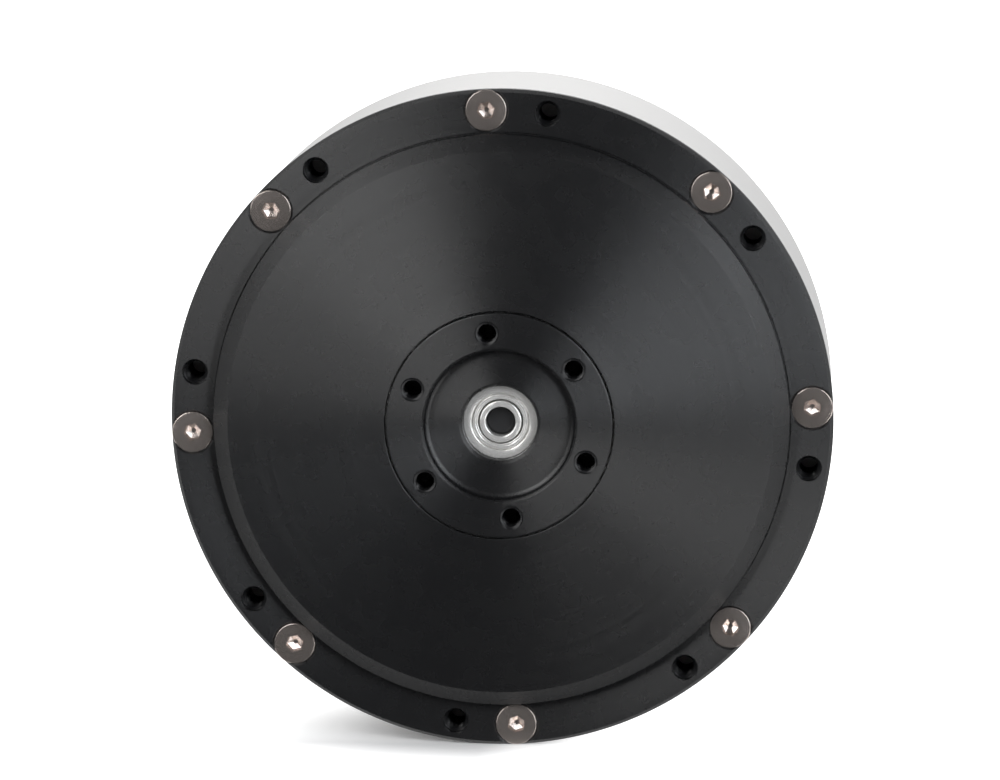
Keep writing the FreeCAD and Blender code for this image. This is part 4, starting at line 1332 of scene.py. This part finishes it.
@dataclass
class TipBearing(SubAssembly):
    """Small shielded bearing in the middle of the flange."""

    bore: float = 2.0
    inner_land: float = 2.8
    outer_land: float = 3.9
    outside: float = 5.0
    width: float = 4.0
    face: float = -1.4
    chamfer: float = 0.12
    shield_sink: float = 0.12
    shield: float = 0.2
    groove: float = 0.24
    race: float = 0.35
    race_half: float = 0.7
    dish: float = 0.08

    def ring(
        self, name: str, inside: float, outside: float, ball_side: Facing
    ) -> bpy.types.Object:
        """One ring with rounded edges and a groove for the balls.

        Args:
            name: Name of the piece.
            inside: Its inner radius.
            outside: Its outer radius.
            ball_side: REAR for a groove in the inner wall, FRONT for one in the outer wall.

        Returns:
            The ring.
        """
        front, rear, c = self.face, self.face + self.width, self.chamfer
        middle, half = (front + rear) / 2, self.race_half
        outer = [(outside, front, c), (outside, rear, c)]
        inner = [(inside, rear, c), (inside, front, c)]
        if ball_side is Facing.FRONT:
            deep = outside - self.race
            outer[1:1] = [(outside, middle - half), (deep, middle), (outside, middle + half)]
        else:
            deep = inside + self.race
            inner[1:1] = [(inside, middle + half), (deep, middle), (inside, middle - half)]
        return self.shop.lathe.turn(name, rounded(outer + inner), GROUND_STEEL.material(), 128)

    def shields(self) -> bpy.types.Object:
        """Both shields, dished near their inner edge, as one piece.

        Returns:
            The piece.
        """
        steel = GROUND_STEEL.material()
        mesh = bmesh.new()
        inner, outer, t = self.inner_land + self.groove, self.outer_land - 0.02, self.shield
        front, rear = self.face + self.shield_sink, self.face + self.width - self.shield_sink
        for way, face in ((1, front), (-1, rear)):
            corners = [
                (outer - self.groove, face, 0.05),
                (outer - self.groove, face + way * t * 2.5),
                (outer, face + way * t * 2.5),
                (outer, face + way * t * 3.0),
                (inner, face + way * t * 3.0),
                (inner, face + way * self.dish, 0.04),
                (inner + 0.25, face + way * self.dish),
                (inner + 0.33, face, 0.04),
            ]
            part = self.shop.lathe.turn("shield", rounded(corners), steel, 128)
            mesh.from_mesh(part.data)
            bpy.data.objects.remove(part)
        whole = bpy.data.meshes.new("tip_shields")
        mesh.to_mesh(whole)
        mesh.free()
        whole.materials.append(steel)
        return linked("tip_shields", whole)

    def build(self) -> None:
        """Make the rings and the shields."""
        outer = self.ring("tip_outer_ring", self.outer_land, self.outside, Facing.REAR)
        self.enter(outer, Body.OUTPUT, Slot.BEARING, "tip_bearing_outer")
        inner = self.ring("tip_inner_ring", self.bore, self.inner_land, Facing.FRONT)
        self.enter(inner, Body.ROTOR, Slot.BEARING, "tip_bearing_inner")
        self.enter(self.shields(), Body.OUTPUT, Slot.BEARING, "tip_bearing_shields")


@dataclass
class RearFasteners(SubAssembly):
    """Countersunk screws that hold the rear cover."""

    circle: Circle = field(default_factory=lambda: Circle(30.5, 4, 45.0))
    head_radius: float = 2.35
    head_sink: float = 0.16
    shank_radius: float = 1.25
    length: float = 8.4
    across_flats: float = 1.5
    socket_depth: float = 1.0

    def build(self) -> None:
        """Make the screws."""
        steel = SCREW_STEEL.material()
        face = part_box("rear_cover")[1][1] / MM
        screw = SunkScrew(
            face - self.head_sink + 0.1,
            self.head_radius,
            self.shank_radius,
            self.length,
            self.across_flats,
            self.socket_depth,
            Facing.REAR,
        )
        model, turn = screw.model(self.shop, steel), math.pi / 3
        piece = self.shop.ring.set_out("rear_screw_set", model, self.circle, steel, turn, 5)
        self.enter(piece, Body.HOUSING, Slot.SCREW, "rear_cover_screws")


class CarriedNodes:
    """Frame nodes that keep their shape and get their finish here."""

    near = 2.0

    def __init__(self, record: dict[str, Any], nodes: dict[str, bpy.types.Object]) -> None:
        """Hold the record and the nodes."""
        self.slots = {part["node"]: part["material_slot"] for part in record["subparts"]}
        self.nodes = nodes

    def centre(self, name: str) -> Pair:
        """Middle of a node seen along the axis, or the axis if it is near.

        Args:
            name: Name of the node.

        Returns:
            X and Z, in millimetres.
        """
        low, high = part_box(name)
        x, z = (low[0] + high[0]) / 2 / MM, (low[2] + high[2]) / 2 / MM
        return AXIS if math.hypot(x, z) < self.near else (round(x, 2), round(z, 2))

    def dress(self) -> None:
        """Give every node the material of its slot; the pinion instead takes near-black steel,
        painted shade for its end in the bearing's bore.
        """
        for name, node in self.nodes.items():
            # Painted shade: the pinion is made near-black in place of its slot's steel.
            finish = PAINTED_SHADE_STEEL if name == "sun_pinion" else FINISHES[self.slots[name]]
            centre = self.centre(name) if isinstance(finish, Turned) else AXIS
            for holder in node.material_slots:
                holder.material = finish.material(centre)
        LOG.info("%d frame nodes dressed", len(self.nodes))


# ---------------------------------------------------------------- the studio


def aimed(data: bpy.types.ID, direction: Vector, distance: float) -> bpy.types.Object:
    """Lamp or camera that looks at the object.

    Args:
        data: The lamp or camera, whose name the object takes.
        direction: Way to it from the object, of length one.
        distance: Distance of it, in metres.

    Returns:
        The object.
    """
    made = linked(data.name, data)
    made.location = direction * distance
    made.rotation_euler = (-direction).to_track_quat("-Z", "Y").to_euler()
    return made


@dataclass(frozen=True)
class Lamp:
    """Soft box: degrees off the front axis, degrees round it from the right, and metres."""

    title: str
    off_axis: float
    round_axis: float
    distance: float
    width: float
    height: float
    watts: float
    colour: Colour = WHITE

    def place(self) -> None:
        """Hang the lamp so that it looks at the object."""
        off, turn = math.radians(self.off_axis), math.radians(self.round_axis)
        flat = math.sin(off)
        direction = Vector((flat * math.cos(turn), -math.cos(off), flat * math.sin(turn)))
        light = bpy.data.lights.new(self.title, "AREA")
        light.shape = "RECTANGLE"
        light.size, light.size_y = self.width, self.height
        light.energy, light.color = self.watts, self.colour
        aimed(light, direction, self.distance)


LAMPS = (
    Lamp("right_box", 42.0, 20.0, 0.9, 0.5, 0.6, 5.5, (0.93, 0.96, 1.0)),
    Lamp("left_box", 42.0, 134.0, 0.9, 0.5, 0.45, 4.1),
    Lamp("low_box", 42.0, -36.0, 0.9, 0.4, 0.4, 1.7),
    Lamp("side_box", 42.0, 168.0, 0.9, 0.4, 0.4, 1.3),
    Lamp("rear_box", 130.0, 80.0, 0.9, 0.9, 0.6, 3.0),
)


@dataclass
class Studio:
    """Camera, lamps, world and floor; levels are of light and steps are from and to."""

    azimuth: float = 3.47
    elevation: float = 9.02
    distance: float = 0.715
    focal_widths: float = 5.3378
    shift: Pair = (-0.0012, 0.0301)
    ambient: float = 0.35
    front_level: float = 0.03
    side_level: float = 0.1
    side_step: Pair = (-0.2, 0.1)
    back_step: Pair = (0.2, 0.6)
    side_reach: float = 0.35
    floor_half: float = 1.5
    floor_front: float = -0.6
    floor_back: float = 2.0
    card: float = 0.85
    # Painted light: steps and reach of the floor's painted glow, which leaves a contact shadow
    # only at the bottom left.
    glow_step: Pair = (0.044, 0.064)
    mirrored_glow: float = 0.3
    shadow_edge: float = 0.003
    shadow_reach: float = 0.02
    unseen_step: Pair = (-0.01, 0.02)

    def camera(self) -> None:
        """Set the camera."""
        data = bpy.data.cameras.new("camera")
        data.sensor_width, data.lens = SENSOR, SENSOR * self.focal_widths
        data.shift_x, data.shift_y = self.shift
        data.clip_start, data.clip_end = 0.01, 50.0
        turn, rise = math.radians(self.azimuth), math.radians(self.elevation)
        flat = math.cos(rise)
        direction = Vector((math.sin(turn) * flat, -math.cos(turn) * flat, math.sin(rise)))
        bpy.context.scene.camera = aimed(data, direction, self.distance)

    def seen(self, graph: Graph) -> tuple[Value, Value]:
        """Masks of rays from the camera, and of those by way of metal or glass.

        Args:
            graph: Graph of the world or of the floor.

        Returns:
            Both masks.
        """
        rays = graph.node("ShaderNodeLightPath", out="Is Camera Ray")
        glossy, clear = rays.take("Is Glossy Ray"), rays.take("Is Transmission Ray")
        return rays, graph.maths("MAXIMUM", glossy, clear)

    def world(self) -> None:
        """White behind the object, a dim room in front of it, and an even ambient."""
        world = bpy.data.worlds.new("studio")
        graph = Graph.of(world)
        camera, mirror = self.seen(graph)
        x, y, z = graph.split(graph.node("ShaderNodeTexCoord", out="Generated"))
        sideways = graph.maths("MAXIMUM", graph.maths("ABSOLUTE", x) - z, 0.0)
        side = graph.step(y, *self.side_step, self.front_level, self.side_level)
        behind = y + sideways * self.side_reach
        room = side + graph.step(behind, *self.back_step, 0.0, 1.0 - self.side_level)
        strength = mirror * room + (1.0 - mirror) * self.ambient
        level = camera + (1.0 - camera) * strength
        back = graph.node("ShaderNodeBackground", values={"Color": WHITE, "Strength": level})
        graph.node("ShaderNodeOutputWorld", values={"Surface": back})
        bpy.context.scene.world = world

    def floor(self, level: float) -> None:
        """White card under and behind the object, with a painted glow that paints out its shadow
        everywhere except near the contact at the bottom left, where the shadow is left to show.

        Args:
            level: Height of the card.
        """
        mesh = bpy.data.meshes.new("floor")
        half, front, back = self.floor_half, self.floor_front, self.floor_back
        edge = [(-half, front), (half, front), (half, back), (-half, back)]
        mesh.from_pydata([(x, y, level) for x, y in edge], [], [(0, 1, 2, 3)])
        material = bpy.data.materials.new("white_card")
        graph = Graph.of(material)
        camera, mirror = self.seen(graph)
        here = graph.node("ShaderNodeTexCoord", out="Object")
        away = graph.node("ShaderNodeVectorMath", {"operation": "LENGTH"}, {0: here}, "Value")
        x, y, _ = graph.split(here)
        # Painted light: the glow mask is pushed up to the right and in front, so the glow paints
        # the shadow out there and only a contact shadow to the left stays.
        right = graph.clamp(x + self.shadow_edge, 0.0, self.shadow_reach)
        ahead = graph.maths("MAXIMUM", 0.0 - y, 0.0)
        painted_glow_mask = graph.step(away + right + ahead, *self.glow_step)
        glow = (camera + mirror * self.mirrored_glow) * painted_glow_mask
        card = graph.node("ShaderNodeBsdfDiffuse", values={"Color": (self.card,) * 3})
        light = graph.node("ShaderNodeEmission", values={"Color": WHITE, "Strength": glow})
        both = graph.node("ShaderNodeAddShader", values={0: card, 1: light})
        unseen = mirror * graph.step(y, *self.unseen_step, 1.0, 0.0)
        clear = graph.node("ShaderNodeBsdfTransparent")
        whole = graph.node("ShaderNodeMixShader", values={0: unseen, 1: both, 2: clear})
        graph.node("ShaderNodeOutputMaterial", values={"Surface": whole})
        mesh.materials.append(material)
        linked("floor", mesh)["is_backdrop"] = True

    def build(self, level: float) -> None:
        """Set up everything round the object.

        Args:
            level: Height of the surface that the object stands on.
        """
        self.camera()
        self.world()
        self.floor(level)
        for lamp in LAMPS:
            lamp.place()
        bpy.context.scene.view_settings.view_transform = "Standard"
        LOG.info("studio with %d lamps", len(LAMPS))


def main() -> None:
    """Build the pieces in order."""
    logging.basicConfig(level=logging.INFO, format="%(name)s: %(message)s")
    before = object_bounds()
    CarriedNodes(frame["record"], frame["nodes"]).dress()
    shop = Workshop()
    for group in (FrontCover(shop), OutputFlange(shop), TipBearing(shop), RearFasteners(shop)):
        group.build()
    Studio().build(before[0][2])


if __name__ == "__main__":
    main()
